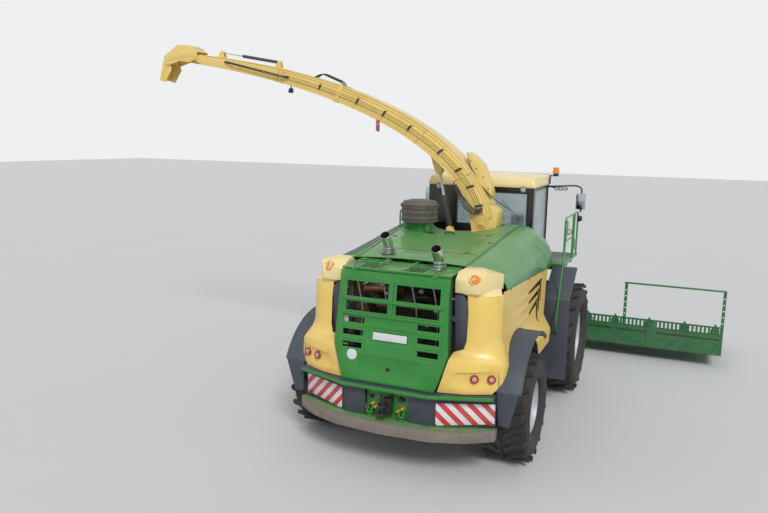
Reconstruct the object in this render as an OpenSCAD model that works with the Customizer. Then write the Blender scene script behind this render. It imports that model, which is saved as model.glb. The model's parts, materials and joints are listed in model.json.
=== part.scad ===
/* [Wheels] */
// Distance between the front and the rear axle
wheelbase = 3430; // [3330:10:3500]
// Distance between the middles of the front tyres
front_track = 3040; // [3000:10:3080]
// Distance between the middles of the rear tyres
rear_track = 3030; // [3000:10:3060]
// Outer diameter of a front tyre over its lugs
front_tyre_d = 2030; // [1980:10:2060]
// Width of a front tyre
front_tyre_w = 900; // [860:10:920]
// Diameter of a front rim at the tyre's bead
front_rim_d = 1067; // [1040:1:1090]
// Outer diameter of a rear tyre over its lugs
rear_tyre_d = 1600; // [1560:10:1620]
// Width of a rear tyre
rear_tyre_w = 710; // [680:10:720]
// Diameter of a rear rim at the tyre's bead
rear_rim_d = 762; // [740:1:790]
// Height of a tread lug
lug_h = 55; // [40:1:60]
// Width of a tread lug
lug_w = 62; // [45:1:70]
// Lugs on each half of a front tyre
front_lugs = 21; // [17:1:23]
// Lugs on each half of a rear tyre
rear_lugs = 18; // [15:1:19]

/* [Axles and frame] */
// Distance of a kingpin from the middle of the machine
kingpin_x = 1400; // [1380:5:1420]
// Diameter of a kingpin
kingpin_d = 70; // [60:2:80]
// Diameter of a wheel spindle
spindle_d = 90; // [80:2:110]
// Distance between the middles of the frame rails
rail_gap = 880; // [800:10:960]
// Width of a frame rail
rail_w = 120; // [100:5:140]
// Height of a frame rail
rail_h = 300; // [260:10:320]
// Height of the rails' underside above the ground
rail_z = 950; // [920:10:980]
// Running gap of a pin or spindle in its bore
pin_gap = 0.3; // [0.2:0.05:0.6]

/* [Bodywork] */
// Half width of the body at its side panels
body_x = 1440; // [1420:5:1460]
// Thickness of the moulded body panels
skin = 12; // [8:1:16]
// Gap around a panel that opens
seam = 8; // [6:1:14]
// Inner radius of the rear wheel arch
arch_r = 1110; // [1080:5:1130]
// Thickness of the mudguards
guard_t = 14; // [10:1:18]
// Half width of the tailgate at its top
gate_top_x = 810; // [790:5:830]
// Half width of the tailgate at its widest
gate_mid_x = 850; // [830:5:860]
// Half width of the tailgate at its foot
gate_foot_x = 690; // [660:5:720]
// Length of the tailgate down its face
gate_len = 1560; // [1520:10:1580]

/* [Cab] */
// Half width of the cab over its posts
cab_x = 1020; // [1000:5:1040]
// Height of the cab floor above the ground
cab_z = 2380; // [2360:10:2420]
// Height of the cab roof's underside
roof_z = 3800; // [3780:10:3840]
// Thickness of the cab roof
roof_h = 200; // [160:10:240]
// Thickness of the glass
glass_t = 6; // [5:1:8]
// Width of a cab post
post_w = 70; // [60:5:80]

/* [Spout] */
// Distance of the spout's slewing axis behind the front axle
slew_y = 1150; // [1130:10:1170]
// Outer diameter of the slewing ring
ring_d = 1000; // [960:10:1040]
// Width of the spout at its foot
spout_w0 = 430; // [400:10:450]
// Width of the spout at its tip
spout_w1 = 330; // [310:10:350]
// Wall thickness of the spout
spout_t = 8; // [6:1:12]
// Bore of the spout's lift cylinder
lift_bore = 80; // [70:5:90]

/* [Header] */
// Width of the header's middle part and of each wing
section_w = 3000; // [2900:20:3040]
// Distance between two crop rows
row_w = 750; // [740:5:760]
// Height of the wings' fold axis above the ground
fold_z = 915; // [905:5:930]
// Gap between the header's sections
fold_gap = 20; // [16:1:30]
// Height of the guard rail over the wings
guard_z = 1660; // [1600:10:1700]
// Length of the dividers
divider_len = 1350; // [1250:10:1400]
// Bore of the header's lift cylinders
head_bore = 110; // [100:5:120]

/* [Trailer coupling] */
// Diameter of the coupling's pin hole
hitch_bore_d = 40; // [32:1:44]
// Height of the coupling's pin hole middle above the ground
hitch_z = 960; // [940:5:980]

/* [Hidden] */
$fn = 48;

// Shift that puts the middle of the machine's box over the origin
spout_reach = 6790;
lip_y = -4950;
tip_y = 4960;
shift_x = (spout_reach - 1.5 * section_w) / 2;
shift_y = -(lip_y + tip_y) / 2;

green = [0.10, 0.42, 0.13];
yellow = [0.93, 0.78, 0.40];
cream = [0.93, 0.88, 0.68];
dark = [0.16, 0.18, 0.20];
black = [0.06, 0.06, 0.07];
silver = [0.75, 0.76, 0.78];
steel = [0.50, 0.51, 0.53];

front_r = front_tyre_d / 2;
rear_r = rear_tyre_d / 2;
rail_x = rail_gap / 2;
rail_top = rail_z + rail_h;

// Helpers

module both_sides() {
  children();
  mirror([1, 0, 0]) children();
}

function unit(v) = v / norm(v);

// Points of an arc about a centre, from angle a0 to a1 in n steps
function arc(c, r, a0, a1, n) = [for (i = [0:n]) let (a = a0 + (a1 - a0) * i / n) c + r * [cos(a), sin(a)]];

// A point of a cubic curve with the four control points c
function bezier(c, t) = pow(1 - t, 3) * c[0] + 3 * t * pow(1 - t, 2) * c[1]
  + 3 * t * t * (1 - t) * c[2] + pow(t, 3) * c[3];

// Height at x on a line through a list of [x, height] points
function along(list, x) = lookup(x, list);

// Round rod between two points
module rod(a, b, d) {
  v = b - a;
  translate(a)
    rotate([0, acos(v.z / norm(v)), atan2(v.y, v.x)])
      cylinder(h = norm(v), d = d);
}

// Route with its corners cut back by r
function eased(p, r) = [for (i = [0:len(p) - 1])
  each (i == 0 || i == len(p) - 1) ? [p[i]]
    : [p[i] + r * unit(p[i - 1] - p[i]), p[i] + 0.29 * r * (unit(p[i - 1] - p[i]) + unit(p[i + 1] - p[i])),
      p[i] + r * unit(p[i + 1] - p[i])]];

// Tube of diameter d along a route; side is a direction that the route never runs along
module pipe(route, d, side = [1, 0, 0], n = 8) {
  m = len(route);
  rings = [for (i = [0:m - 1])
    let (t = unit(route[min(i + 1, m - 1)] - route[max(i - 1, 0)]), u = unit(cross(side, t)), w = cross(t, u))
    each [for (k = [0:n - 1]) route[i] + d / 2 * (cos(360 * k / n) * u + sin(360 * k / n) * w)]];
  walls = [for (i = [0:m - 2], k = [0:n - 1])
    let (a = i * n + k, b = i * n + (k + 1) % n) each [[a, a + n, b + n], [a, b + n, b]]];
  polyhedron(rings, concat([[for (k = [0:n - 1]) k]], [[for (k = [n - 1:-1:0]) (m - 1) * n + k]], walls));
}

// Sheet of thickness t under a grid of points; rows run one way and columns the other
module sheet(grid, t) {
  m = len(grid);
  n = len(grid[0]);
  function at(i, j) = grid[i][j];
  function normal(i, j) = unit(cross(at(min(i + 1, m - 1), j) - at(max(i - 1, 0), j),
    at(i, min(j + 1, n - 1)) - at(i, max(j - 1, 0))));
  outer = [for (i = [0:m - 1], j = [0:n - 1]) at(i, j)];
  inner = [for (i = [0:m - 1], j = [0:n - 1]) at(i, j) - t * normal(i, j)];
  s = m * n;
  faces = [for (i = [0:m - 2], j = [0:n - 2])
    let (a = i * n + j, b = a + 1, c = a + n, d = c + 1)
    each [[a, b, d], [a, d, c], [s + a, s + d, s + b], [s + a, s + c, s + d]]];
  rims = concat(
    [for (j = [0:n - 2]) let (a = j, b = j + 1) each [[a, s + a, s + b], [a, s + b, b]]],
    [for (j = [0:n - 2]) let (a = (m - 1) * n + j, b = a + 1) each [[a, b, s + b], [a, s + b, s + a]]],
    [for (i = [0:m - 2]) let (a = i * n, b = a + n) each [[a, b, s + b], [a, s + b, s + a]]],
    [for (i = [0:m - 2]) let (a = i * n + n - 1, b = a + n) each [[a, s + a, s + b], [a, s + b, b]]]);
  polyhedron(concat(outer, inner), concat(faces, rims));
}

// Closed body through like sections, each a list of as many points
module loft(sections) {
  m = len(sections);
  n = len(sections[0]);
  walls = [for (i = [0:m - 2], k = [0:n - 1])
    let (a = i * n + k, b = i * n + (k + 1) % n) each [[a, a + n, b + n], [a, b + n, b]]];
  ends = [[for (k = [0:n - 1]) k], [for (k = [n - 1:-1:0]) (m - 1) * n + k]];
  polyhedron([for (s = sections) each s], concat(ends, walls));
}

// Wheels

// Half width of the bead seat as a share of the tyre's width
bead = 0.36;

// Outline of a tyre without lugs, [distance from the axle, place across the tyre]
function tyre_outline(r, w, rim_r) = let (b = r - lug_h, h = b - rim_r) [
  [rim_r, 3 - bead * w], [rim_r + 30, 3 - bead * w], [rim_r + 0.14 * h, -0.43 * w], [rim_r + 0.30 * h, -0.48 * w],
  [rim_r + 0.50 * h, -0.5 * w],
  [rim_r + 0.70 * h, -0.485 * w], [rim_r + 0.88 * h, -0.45 * w], [b - 0.02 * h, -0.38 * w], [b, -0.2 * w],
  [b, 0.2 * w], [b - 0.02 * h, 0.38 * w], [rim_r + 0.88 * h, 0.45 * w], [rim_r + 0.70 * h, 0.485 * w],
  [rim_r + 0.50 * h, 0.5 * w], [rim_r + 0.30 * h, 0.48 * w], [rim_r + 0.14 * h, 0.43 * w], [rim_r + 30, bead * w - 3],
  [rim_r, bead * w - 3]];

// One slanting lug on the tread, its nose near the middle and its heel at the shoulder
module lug(r, w) {
  nose = 0.02 * w;
  knee = 0.22 * w;
  heel = 0.47 * w;
  lead = 0.15 * w;
  root = r - lug_h - 14;
  translate([0, 0, root])
    linear_extrude(sqrt(r * r - pow(lead + 0.6 * lug_w, 2)) - root)
      polygon([[nose, -lead - 0.6 * lug_w], [nose, -lead + 0.65 * lug_w], [knee, 0.3 * lead + 0.55 * lug_w],
        [heel, lead + 0.5 * lug_w], [heel, lead - 0.5 * lug_w], [knee, 0.3 * lead - 0.6 * lug_w]]);
}

// A tyre about the X axis; nose forward shows as a V from behind
module tyre(r, w, rim_r, lugs) {
  rotate([0, 90, 0]) rotate_extrude($fn = 96) polygon(tyre_outline(r, w, rim_r));
  for (side = [0, 1], k = [0:lugs - 1])
    rotate([360 * (k + side / 2) / lugs, 0, 0]) mirror([side, 0, 0]) lug(r, w);
}

// A rim about the X axis, its dished face towards +X
module rim(rim_r, w, hub_r, hub_in, dish, holes) {
  half = bead * w;
  difference() {
    rotate([0, 90, 0]) rotate_extrude($fn = 96) union() {
      polygon([[rim_r, -half], [rim_r, -half + 50], [rim_r - 60, -half + 120], [rim_r - 60, half - 120],
        [rim_r, half - 50], [rim_r, half], [rim_r + 22, half], [rim_r + 24, half + 14], [rim_r + 8, half + 16],
        [rim_r - 24, half - 44], [rim_r - 80, half - 112], [rim_r - 80, -half + 112], [rim_r - 24, -half + 44],
        [rim_r + 8, -half - 16], [rim_r + 24, -half - 14], [rim_r + 22, -half]]);
      polygon([[hub_r - 40, dish - 24], [hub_r + 60, dish - 24], [rim_r - 110, half - 150], [rim_r - 70, half - 150],
        [rim_r - 70, half - 128], [rim_r - 118, half - 128], [hub_r + 66, dish], [hub_r - 40, dish]]);
      polygon([[spindle_d / 2 + pin_gap, hub_in], [hub_r, hub_in], [hub_r, dish + 24], [hub_r - 30, dish + 60],
        [0, dish + 60], [0, dish + 30], [spindle_d / 2 + pin_gap, dish + 30]]);
    }
    for (k = [0:holes - 1]) rotate([360 * (k + 0.5) / holes, 0, 0])
      translate([dish - 80, 0, (hub_r + rim_r) / 2 - 20]) rotate([0, 90, 0]) cylinder(h = 260, d = 0.11 * rim_r + 20);
  }
}

front_hub = [front_track / 2, 0, front_r];
rear_hub = [rear_track / 2, -wheelbase, rear_r];
bead_gap = 0.3;
front_dish = 150;
rear_dish = 110;
front_hub_in = -60;
rear_hub_in = -20;

module front_tyre() { color(black) tyre(front_r, front_tyre_w, front_rim_d / 2 + bead_gap, front_lugs); }
module rear_tyre() { color(black) tyre(rear_r, rear_tyre_w, rear_rim_d / 2 + bead_gap, rear_lugs); }
module front_rim() { color(silver) rim(front_rim_d / 2, front_tyre_w, 150, front_hub_in, front_dish, 10); }
module rear_rim() { color(silver) rim(rear_rim_d / 2, rear_tyre_w, 105, rear_hub_in, rear_dish, 8); }

module front_tyre_left() { translate([-front_hub.x, 0, front_hub.z]) mirror([1, 0, 0]) front_tyre(); }
module front_tyre_right() { translate(front_hub) front_tyre(); }
module rear_tyre_left() { translate([-rear_hub.x, rear_hub.y, rear_hub.z]) mirror([1, 0, 0]) rear_tyre(); }
module rear_tyre_right() { translate(rear_hub) rear_tyre(); }
module front_rim_left() { translate([-front_hub.x, 0, front_hub.z]) mirror([1, 0, 0]) front_rim(); }
module front_rim_right() { translate(front_hub) front_rim(); }
module rear_rim_left() { translate([-rear_hub.x, rear_hub.y, rear_hub.z]) mirror([1, 0, 0]) rear_rim(); }
module rear_rim_right() { translate(rear_hub) rear_rim(); }

// Axles

front_beam_d = 230;
saddle_y = 135;
saddle_z = 1140;

module front_axle() {
  color(dark) both_sides() {
    translate([0, 0, front_r]) rotate([0, 90, 0]) cylinder(h = front_hub.x - 320, d = front_beam_d);
    // Gear housing inside the rim
    translate([front_hub.x - 330, 0, front_r]) rotate([0, 90, 0]) cylinder(h = 250, d1 = 300, d2 = 380);
    translate([front_hub.x - 90, 0, front_r]) rotate([0, 90, 0])
      cylinder(h = front_dish + 90 - 2, d = spindle_d);
    // Seat of the frame rail on the axle
    translate([rail_x - rail_w / 2, pin_gap - saddle_y, front_r - 150])
      cube([rail_w, 2 * saddle_y - 2 * pin_gap, saddle_z - pin_gap - front_r + 150]);
  }
}

beam_h = 190;
fork_h = 60;
fork_gap = 240;
swing_d = 200;

// Steered axle with a fork and kingpin at each end
module rear_axle() {
  color(dark) {
    both_sides() {
      difference() {
        union() {
          translate([0, -wheelbase - 110, rear_r - beam_h / 2]) cube([kingpin_x - 160, 220, beam_h]);
          for (z = [-1, 1])
            translate([0, 0, rear_r + z * (fork_gap + fork_h) / 2 - fork_h / 2]) linear_extrude(fork_h)
              polygon([[kingpin_x - 320, -wheelbase - 100], [kingpin_x, -wheelbase - 75],
                [kingpin_x + 60, -wheelbase - 30], [kingpin_x + 60, -wheelbase + 30],
                [kingpin_x, -wheelbase + 75], [kingpin_x - 320, -wheelbase + 100]]);
          translate([kingpin_x - 340, -wheelbase - 100, rear_r - fork_gap / 2 - fork_h])
            cube([140, 200, fork_gap + 2 * fork_h]);
        }
      }
      translate([kingpin_x, -wheelbase, rear_r - fork_gap / 2 - fork_h - 10])
        cylinder(h = fork_gap + 2 * fork_h + 20, d = kingpin_d);
    }
    // Swing pivot of the axle under the frame
    translate([0, -wheelbase, rear_r]) rotate([90, 0, 0]) cylinder(h = 600, d = swing_d, center = true);
    // Steering cylinder across the axle
    translate([-300, -wheelbase + 165, rear_r]) rotate([0, 90, 0]) cylinder(h = 600, d = 90);
    for (x = [-300, 240]) translate([x, -wheelbase + 100, rear_r - 60]) cube([60, 110, 120]);
  }
}

// Knuckle of the right wheel; the boss turns on the kingpin
module knuckle() {
  boss_h = fork_gap - 8;
  color(steel) difference() {
    union() {
      translate([kingpin_x, -wheelbase, rear_r - boss_h / 2]) cylinder(h = boss_h, d = kingpin_d + 70);
      translate([kingpin_x + 40, -wheelbase, rear_r]) rotate([0, 90, 0])
        cylinder(h = rear_hub.x + rear_hub_in - kingpin_x - 42, d = 190);
      translate([kingpin_x + 40, -wheelbase, rear_r]) rotate([0, 90, 0])
        cylinder(h = rear_hub.x + rear_dish - kingpin_x - 20, d = spindle_d);
      // Steering arm
      translate([0, 0, rear_r - 30]) linear_extrude(60)
        polygon([[kingpin_x - 40, -wheelbase + 40], [kingpin_x - 75, -wheelbase + 200],
          [kingpin_x - 75, -wheelbase + 260], [kingpin_x - 15, -wheelbase + 260], [kingpin_x + 30, -wheelbase + 60]]);
    }
    translate([kingpin_x, -wheelbase, rear_r - 200]) cylinder(h = 400, d = kingpin_d + 2 * pin_gap);
  }
}
module knuckle_left() { mirror([1, 0, 0]) knuckle(); }
module knuckle_right() { knuckle(); }

// Frame

front_end_y = 1070;
intake_pin_d = 120;
rear_end_y = -4420;
wall_y = -940;
// Beams under the hood's shoulders: place, width and height of the top face
top_beam_x = 720;
top_beam_w = 70;
top_beam_z = rail_top + 1440;
gate_hinge = [0, -4560, 2820];
intake_pivot = [0, 980, 1130];
mount_ys = [-280, 240, 760];
pivot_ys = [-wheelbase - 300, -wheelbase + 232];

module chassis() {
  color(dark) {
    both_sides() {
      // Rail with the bore of the intake pivot at its front end
      difference() {
        translate([rail_x - rail_w / 2, rear_end_y, rail_z]) cube([rail_w, front_end_y - rear_end_y, rail_h]);
        translate([rail_x - rail_w, intake_pivot.y, intake_pivot.z]) rotate([0, 90, 0])
          cylinder(h = 2 * rail_w, d = intake_pin_d + 2 * pin_gap);
        translate([rail_x - rail_w, -saddle_y, 0]) cube([2 * rail_w, 2 * saddle_y, saddle_z]);
      }
      // Ears and pin of a header lift cylinder
      for (x = [head_lift_x - 52, head_lift_x + 32]) translate([x, head_lift_base.x - 50, head_lift_base.y - 50])
        cube([20, 100, rail_z - head_lift_base.y + 100]);
      translate([head_lift_x - 52, head_lift_base.x - 50, rail_z]) cube([104, 100, 60]);
      translate([head_lift_x - 52, head_lift_base.x, head_lift_base.y]) rotate([0, 90, 0])
        cylinder(h = 104, d = head_pin_d);
      // Side frame under the hood, with a post at each end
      translate([rail_x, -1300, rail_top - 60]) cube([body_x - 80 - rail_x, 80, 60]);
      translate([body_x - 160, -1300, rail_top - 60]) cube([80, 80, 1150]);
      translate([top_beam_x, rear_end_y + 60, rail_top - 60]) cube([top_beam_w, 70, top_beam_z - rail_top + 60]);
      translate([rail_x, rear_end_y + 60, rail_top - 60]) cube([790 - rail_x, 70, 60]);
      // Long top beam under the shoulder
      translate([top_beam_x, rear_end_y + 60, top_beam_z - 60]) cube([top_beam_w, -1300 + 80 - rear_end_y - 60, 60]);
      translate([top_beam_x, -1290, rail_top + 1090]) cube([body_x - 80 - top_beam_x, 60, 60]);
      translate([top_beam_x, -1290, rail_top + 1090]) cube([top_beam_w, 60, top_beam_z - rail_top - 1120]);
      // Cab mounts
      for (y = mount_ys) translate([rail_x - 50, y, rail_top - 1]) cube([100, 100, cab_z - rail_top + 1 - pin_gap]);
    }
    for (y = concat([rear_end_y, -1900, -230, 650], pivot_ys))
      translate([-rail_x, y, rail_z + 40]) cube([rail_gap, 68, rail_h - 80]);
    // Axle pivot brackets
    for (y = pivot_ys)
      difference() {
        translate([-170, y, rear_r - 170]) cube([340, 68, rail_z + 120 - rear_r + 170]);
        translate([0, y - 10, rear_r]) rotate([-90, 0, 0]) cylinder(h = 100, d = swing_d + 2 * pin_gap);
      }
    // Wall between the engine bay and the chopper
    difference() {
      translate([-body_x + 90, wall_y, rail_top - 60]) cube([2 * (body_x - 90), 12, 1250]);
      // Room for the front tyres
      for (x = [-1, 1]) translate([x * (front_track / 2 - 15) - 480, wall_y - 10, 0]) cube([960, 40, 1460]);
    }
    // Chopper and blower housing that feeds the spout
    translate([-380, -700, rail_top - 1]) cube([760, 1150, 560]);
    translate([0, -slew_y, rail_top + 400]) cylinder(h = 2880 - rail_top - 400, d = 760);
    translate([-380, -1190, rail_top - 1]) cube([760, 500, 1000]);
    // Coupling beam behind the rails
    translate([-rail_x, rear_end_y - 90, 850]) cube([rail_gap, 91, 380]);
  }
}

module engine_block() {
  color(black) translate([-680, -3900, rail_top + pin_gap]) {
    cube([1360, 1300, 900]);
    translate([220, 0, 899]) cube([920, 1300, 230]);
  }
}

// Hood: green shell over the engine, its section a flat crown with rounded shoulders
// Columns: place along the machine, crown height, shoulder half width, shoulder height, edge height
hood_rows = [
  [-3950, 2925, 800, 2895, 2622],
  [-3300, 2955, 830, 2960, 2584.3],
  [-2600, 3005, 870, 3050, 2543.7],
  [-1900, 3065, 905, 3135, 2503.1],
  [-1350, 3120, 925, 3185, 2471.2],
  [-900, 3135, 920, 3165, 2445.1],
  [-520, 3100, 890, 3070, 2435]];
drum_at = [-650, -1900];
drum_neck_d = 420;
stack_d = 150;
hood_front = hood_rows[len(hood_rows) - 1][0];
hood_rear = hood_rows[0][0];
turret_room = 630;
shoulder_steps = 6;

function hood_half(r) = concat(
  [for (i = [0:3]) let (s = i / 4) [s * r[2], r[0], r[1] + (r[3] - r[1]) * s * s]],
  [for (i = [0:shoulder_steps]) let (a = 90 * i / shoulder_steps)
    [r[2] + (body_x - r[2]) * sin(a), r[0], r[4] + (r[3] - r[4]) * cos(a)]]);
function hood_row(r) = let (h = hood_half(r)) concat(
  [for (i = [len(h) - 1:-1:1]) [-h[i].x, h[i].y, h[i].z]], h);

module hood() {
  // Knuckles and pins of the side doors' hinges
  color(green) both_sides() on_door_hinges() {
    for (z = [-70, 36]) translate([0, 0, z]) {
      cylinder(h = 34, r = door_knuckle_r);
      translate([-20, 4, 0]) cube([20, 30, 34]);
    }
    translate([0, 0, -60]) cylinder(h = 120, d = door_pin_d);
  }
  // Feet on the frame's top beams
  color(green) both_sides() for (k = [1, 2, 4]) let (r = hood_rows[k])
    translate([top_beam_x + 5, r[0] - 20, top_beam_z + pin_gap])
      cube([top_beam_w - 10, 40, r[1] + (r[3] - r[1]) * pow(top_beam_x / r[2], 2) + 8 - top_beam_z - pin_gap]);
  color(green) difference() {
    sheet([for (r = hood_rows) hood_row(r)], skin);
    translate([0, -slew_y, 2600]) cylinder(h = 800, r = turret_room);
    // Way for the turret towards the cab
    translate([-turret_room, -slew_y, 2600]) cube([2 * turret_room, 800, 800]);
    translate([drum_at.x, drum_at.y, 2800]) cylinder(h = 500, d = drum_neck_d + 2 * pin_gap);
    for (s = stacks) translate([s.x, s.y, 2700]) cylinder(h = 400, d = stack_d + 2 * pin_gap);
  }
}

deck_z = 2855;
// Tailgate hinge: place, length and radius of a knuckle, and its pin
gate_knuckle_x = 600;
gate_knuckle_l = 40;
gate_knuckle_r = 12;
gate_pin_d = 12;

// Slotted deck between the hood and the tailgate, with tube guards over the slots
module rear_deck() {
  y0 = gate_hinge.y + 30;
  y1 = hood_rear + 20;
  color(green) {
    difference() {
      union() {
        translate([-gate_top_x, y0, deck_z - 30]) cube([2 * gate_top_x, y1 - y0, 30]);
        // Step up to the hood
        translate([-gate_top_x + 20, y1 - 30, deck_z - 1]) cube([2 * gate_top_x - 40, 20, 24]);
      }
      for (x = [-600, 90], k = [0:4])
        translate([x, y0 + 70 + 78 * k, deck_z - 60]) cube([300, 46, 90]);
      for (s = stacks) translate([s.x, s.y, deck_z - 100]) cylinder(h = 200, d = stack_d + 2 * pin_gap);
    }
    // Feet on the frame's top beams
    both_sides() for (y = [y0 + 190, y1 - 40]) translate([top_beam_x + 5, y, top_beam_z + pin_gap])
      cube([top_beam_w - 10, 40, deck_z - 29 - top_beam_z - pin_gap]);
    // Knuckles and pins that the tailgate hangs on
    both_sides() translate([gate_knuckle_x, gate_hinge.y, gate_hinge.z]) {
      translate([2, 0, 0]) rotate([0, 90, 0]) cylinder(h = gate_knuckle_l, r = gate_knuckle_r);
      translate([2, 0, 6]) cube([gate_knuckle_l, 50, deck_z - gate_hinge.z - 7]);
      translate([-gate_knuckle_l - 2, 0, 0]) rotate([0, 90, 0]) cylinder(h = 2 * gate_knuckle_l, d = gate_pin_d);
    }
    for (x = [-640, -240, 180, 600])
      pipe(eased([[x, y0 + 50, deck_z - 5], [x, y0 + 50, deck_z + 70], [x, y0 + 440, deck_z + 70],
        [x, y0 + 440, deck_z - 5]], 30), 22);
    for (y = [y0 + 150, y0 + 330])
      pipe([[-640, y, deck_z + 70], [-240, y, deck_z + 70]], 18, side = [0, 0, 1]);
  }
}

// Tailgate in its own plane: across and down from the hinge; columns: down, half width
gate_edge = [[0, gate_top_x], [200, gate_top_x + 5], [1060, gate_mid_x], [1400, gate_foot_x + 60], [gate_len, gate_foot_x]];
// Slots: left end, right end, top, foot, for the right half
gate_slots = [[60, 700, 150, 370], [60, 700, 440, 570],
  [400, 720, 660, 740], [410, 725, 840, 920], [420, 720, 1020, 1100]];
gate_tilt = 7;
gate_depth = 90;

module gate_outline(inset = 0) {
  polygon(concat([for (p = gate_edge) [p[1] - inset, -p[0] - (p[0] == 0 ? inset : 0) + (p[0] == gate_len ? inset : 0)]],
    [for (i = [len(gate_edge) - 1:-1:0]) let (p = gate_edge[i])
      [-p[1] + inset, -p[0] - (p[0] == 0 ? inset : 0) + (p[0] == gate_len ? inset : 0)]]));
}

module tailgate() {
  color(green) translate(gate_hinge) rotate([90 - gate_tilt, 0, 0]) {
    difference() {
      translate([0, 0, -gate_depth]) linear_extrude(gate_depth) gate_outline();
      // Open back
      translate([0, 0, -gate_depth - 1]) linear_extrude(gate_depth - 14) gate_outline(24);
      for (s = gate_slots, x = [-1, 1])
        translate([x > 0 ? s[0] : -s[1], -s[3], -40]) cube([s[1] - s[0], s[3] - s[2], 80]);
      // Recess for a blank plate, and a shallow panel under it
      translate([0, 0, -8]) linear_extrude(20)
        polygon([[-330, -780], [330, -780], [290, -1010], [-290, -1010]]);
      translate([0, 0, -6]) linear_extrude(20)
        polygon([[-480, -1180], [480, -1180], [400, gate_len * -1 + 40], [-400, gate_len * -1 + 40]]);
      // Room for the hinges
      both_sides() translate([gate_knuckle_x, 0, 0]) {
        rotate([0, 90, 0]) cylinder(h = gate_knuckle_l + 4, r = gate_knuckle_r + 2);
        rotate([0, -90, 0]) cylinder(h = gate_knuckle_l + 4, d = gate_pin_d + 2 * pin_gap);
      }
    }
    // Knuckles on the hinge pins
    both_sides() translate([gate_knuckle_x, 0, 0]) rotate([0, -90, 0]) difference() {
      cylinder(h = gate_knuckle_l, r = gate_knuckle_r);
      translate([0, 0, -1]) cylinder(h = gate_knuckle_l + 4, d = gate_pin_d + 2 * pin_gap);
    }
    // Bars between the slots
    for (s = [0, 1]) let (y = -(gate_slots[s][3] + gate_slots[s + 1][2]) / 2)
      translate([-gate_top_x + 60, y - 16, -1]) cube([2 * gate_top_x - 120, 32, 22]);
    translate([-16, -600, -1]) cube([32, 470, 22]);
    // Blank plate
    translate([-260, -950, -9]) cube([520, 110, 6]);
  }
}

// Side doors and rear corners share one profile, which bulges below a crease over the rear wheel
// Columns: height at the rear, half width at the rear and at the front
flank_rows = [
  [1290, 1585, 1640], [1420, 1585, 1640], [1540, 1585, 1640], [1622, 1580, 1634], [1700, 1556, 1606],
  [1850, 1492, 1530], [1995, 1454, 1476], [2350, 1444, 1450], [2640, body_x, body_x]];
// Crease: place along the machine, height
crease = [[-4060, 1995], [-3430, 1968], [-2900, 1900], [-2150, 1815], [-1400, 1700]];
door_front = [[1290, -1560], [1420, -1500], [1590, -1370], [1900, -1170], [2440, -950], [2700, -930]];
door_rear_y = -4060;
top_edge = [for (r = hood_rows) [r[0], r[4]]];

function flank_z(r, y) = let (low = flank_rows[0][0], mid = crease[0][1], c = along(crease, y), top = along(top_edge, y) - seam)
  r[0] <= mid ? low + (r[0] - low) * (c - low) / (mid - low)
    : c + (r[0] - mid) * (top - c) / (flank_rows[len(flank_rows) - 1][0] - mid);
function flank_x(r, y) = r[1] + (r[2] - r[1]) * min(1, max(0, (y - door_rear_y) / 1000));

// A row runs from the front edge to the door's rear edge
function door_row(r) = let (y0 = along(door_front, flank_z(r, -1300))) [for (i = [0:9])
  let (y = y0 + (door_rear_y - y0) * i / 9) [flank_x(r, y), y, flank_z(r, y)]];

module arch_cut(r) {
  translate([700, -wheelbase, rear_r]) rotate([0, 90, 0]) cylinder(h = 1400, r = r, $fn = 96);
}

// Slanting vents: [front, rear end, height at the front, height at the rear, depth of the claw]
vents = [[-2500, -1560, 2330, 2290], [-2500, -1720, 2190, 2130], [-2500, -1880, 2050, 1960]];

hinge_ys = [-1250, -2450, -3650];
hinge_x = body_x + skin;
hinge_slope = atan2(top_edge[0][1] - top_edge[5][1], top_edge[5][0] - top_edge[0][0]);
door_pin_d = 8;
door_knuckle_r = seam - 0.5;

// Places its children on the axis of the right side door, their Z along the axis
module on_door_hinges() {
  for (y = hinge_ys) translate([hinge_x, y, along(top_edge, y) - seam]) rotate([90 - hinge_slope, 0, 0]) children();
}

module side_door() {
  color(yellow) on_door_hinges() difference() {
    union() {
      translate([0, 0, -30]) cylinder(h = 60, r = door_knuckle_r);
      translate([-16, -34, -30]) cube([16, 34, 60]);
    }
    translate([0, 0, -40]) cylinder(h = 80, d = door_pin_d + 2 * pin_gap);
  }
  color(yellow) difference() {
    sheet([for (r = flank_rows) door_row(r)], skin);
    arch_cut(arch_r + guard_t + seam);
    for (v = vents) let (x0 = body_x - 100) {
      // Long narrow blade of the vent
      translate([x0, 0, 0]) rotate([90, 0, 90]) linear_extrude(300)
        polygon([[v[0], v[3] - 8], [v[1], v[2] - 45], [v[1] + 40, v[2] + 30], [v[0], v[3] + 14]]);
      // Hook that runs down from its front end
      translate([x0, 0, 0]) rotate([90, 0, 90]) linear_extrude(300)
        polygon([[v[1] - 60, v[2] + 20], [v[1] + 40, v[2] + 30], [v[1] - 40, v[2] - 330], [v[1] - 70, v[2] - 330]]);
    }
  }
}
module side_door_left() { mirror([1, 0, 0]) side_door(); }
module side_door_right() { side_door(); }

// Plan of the low rear corner: inset from its side, distance behind the door's rear edge
low_plan = [[0, 0], [0, 132], [8, 232], [40, 304], [110, 357], [290, 452], [510, 552]];
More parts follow.
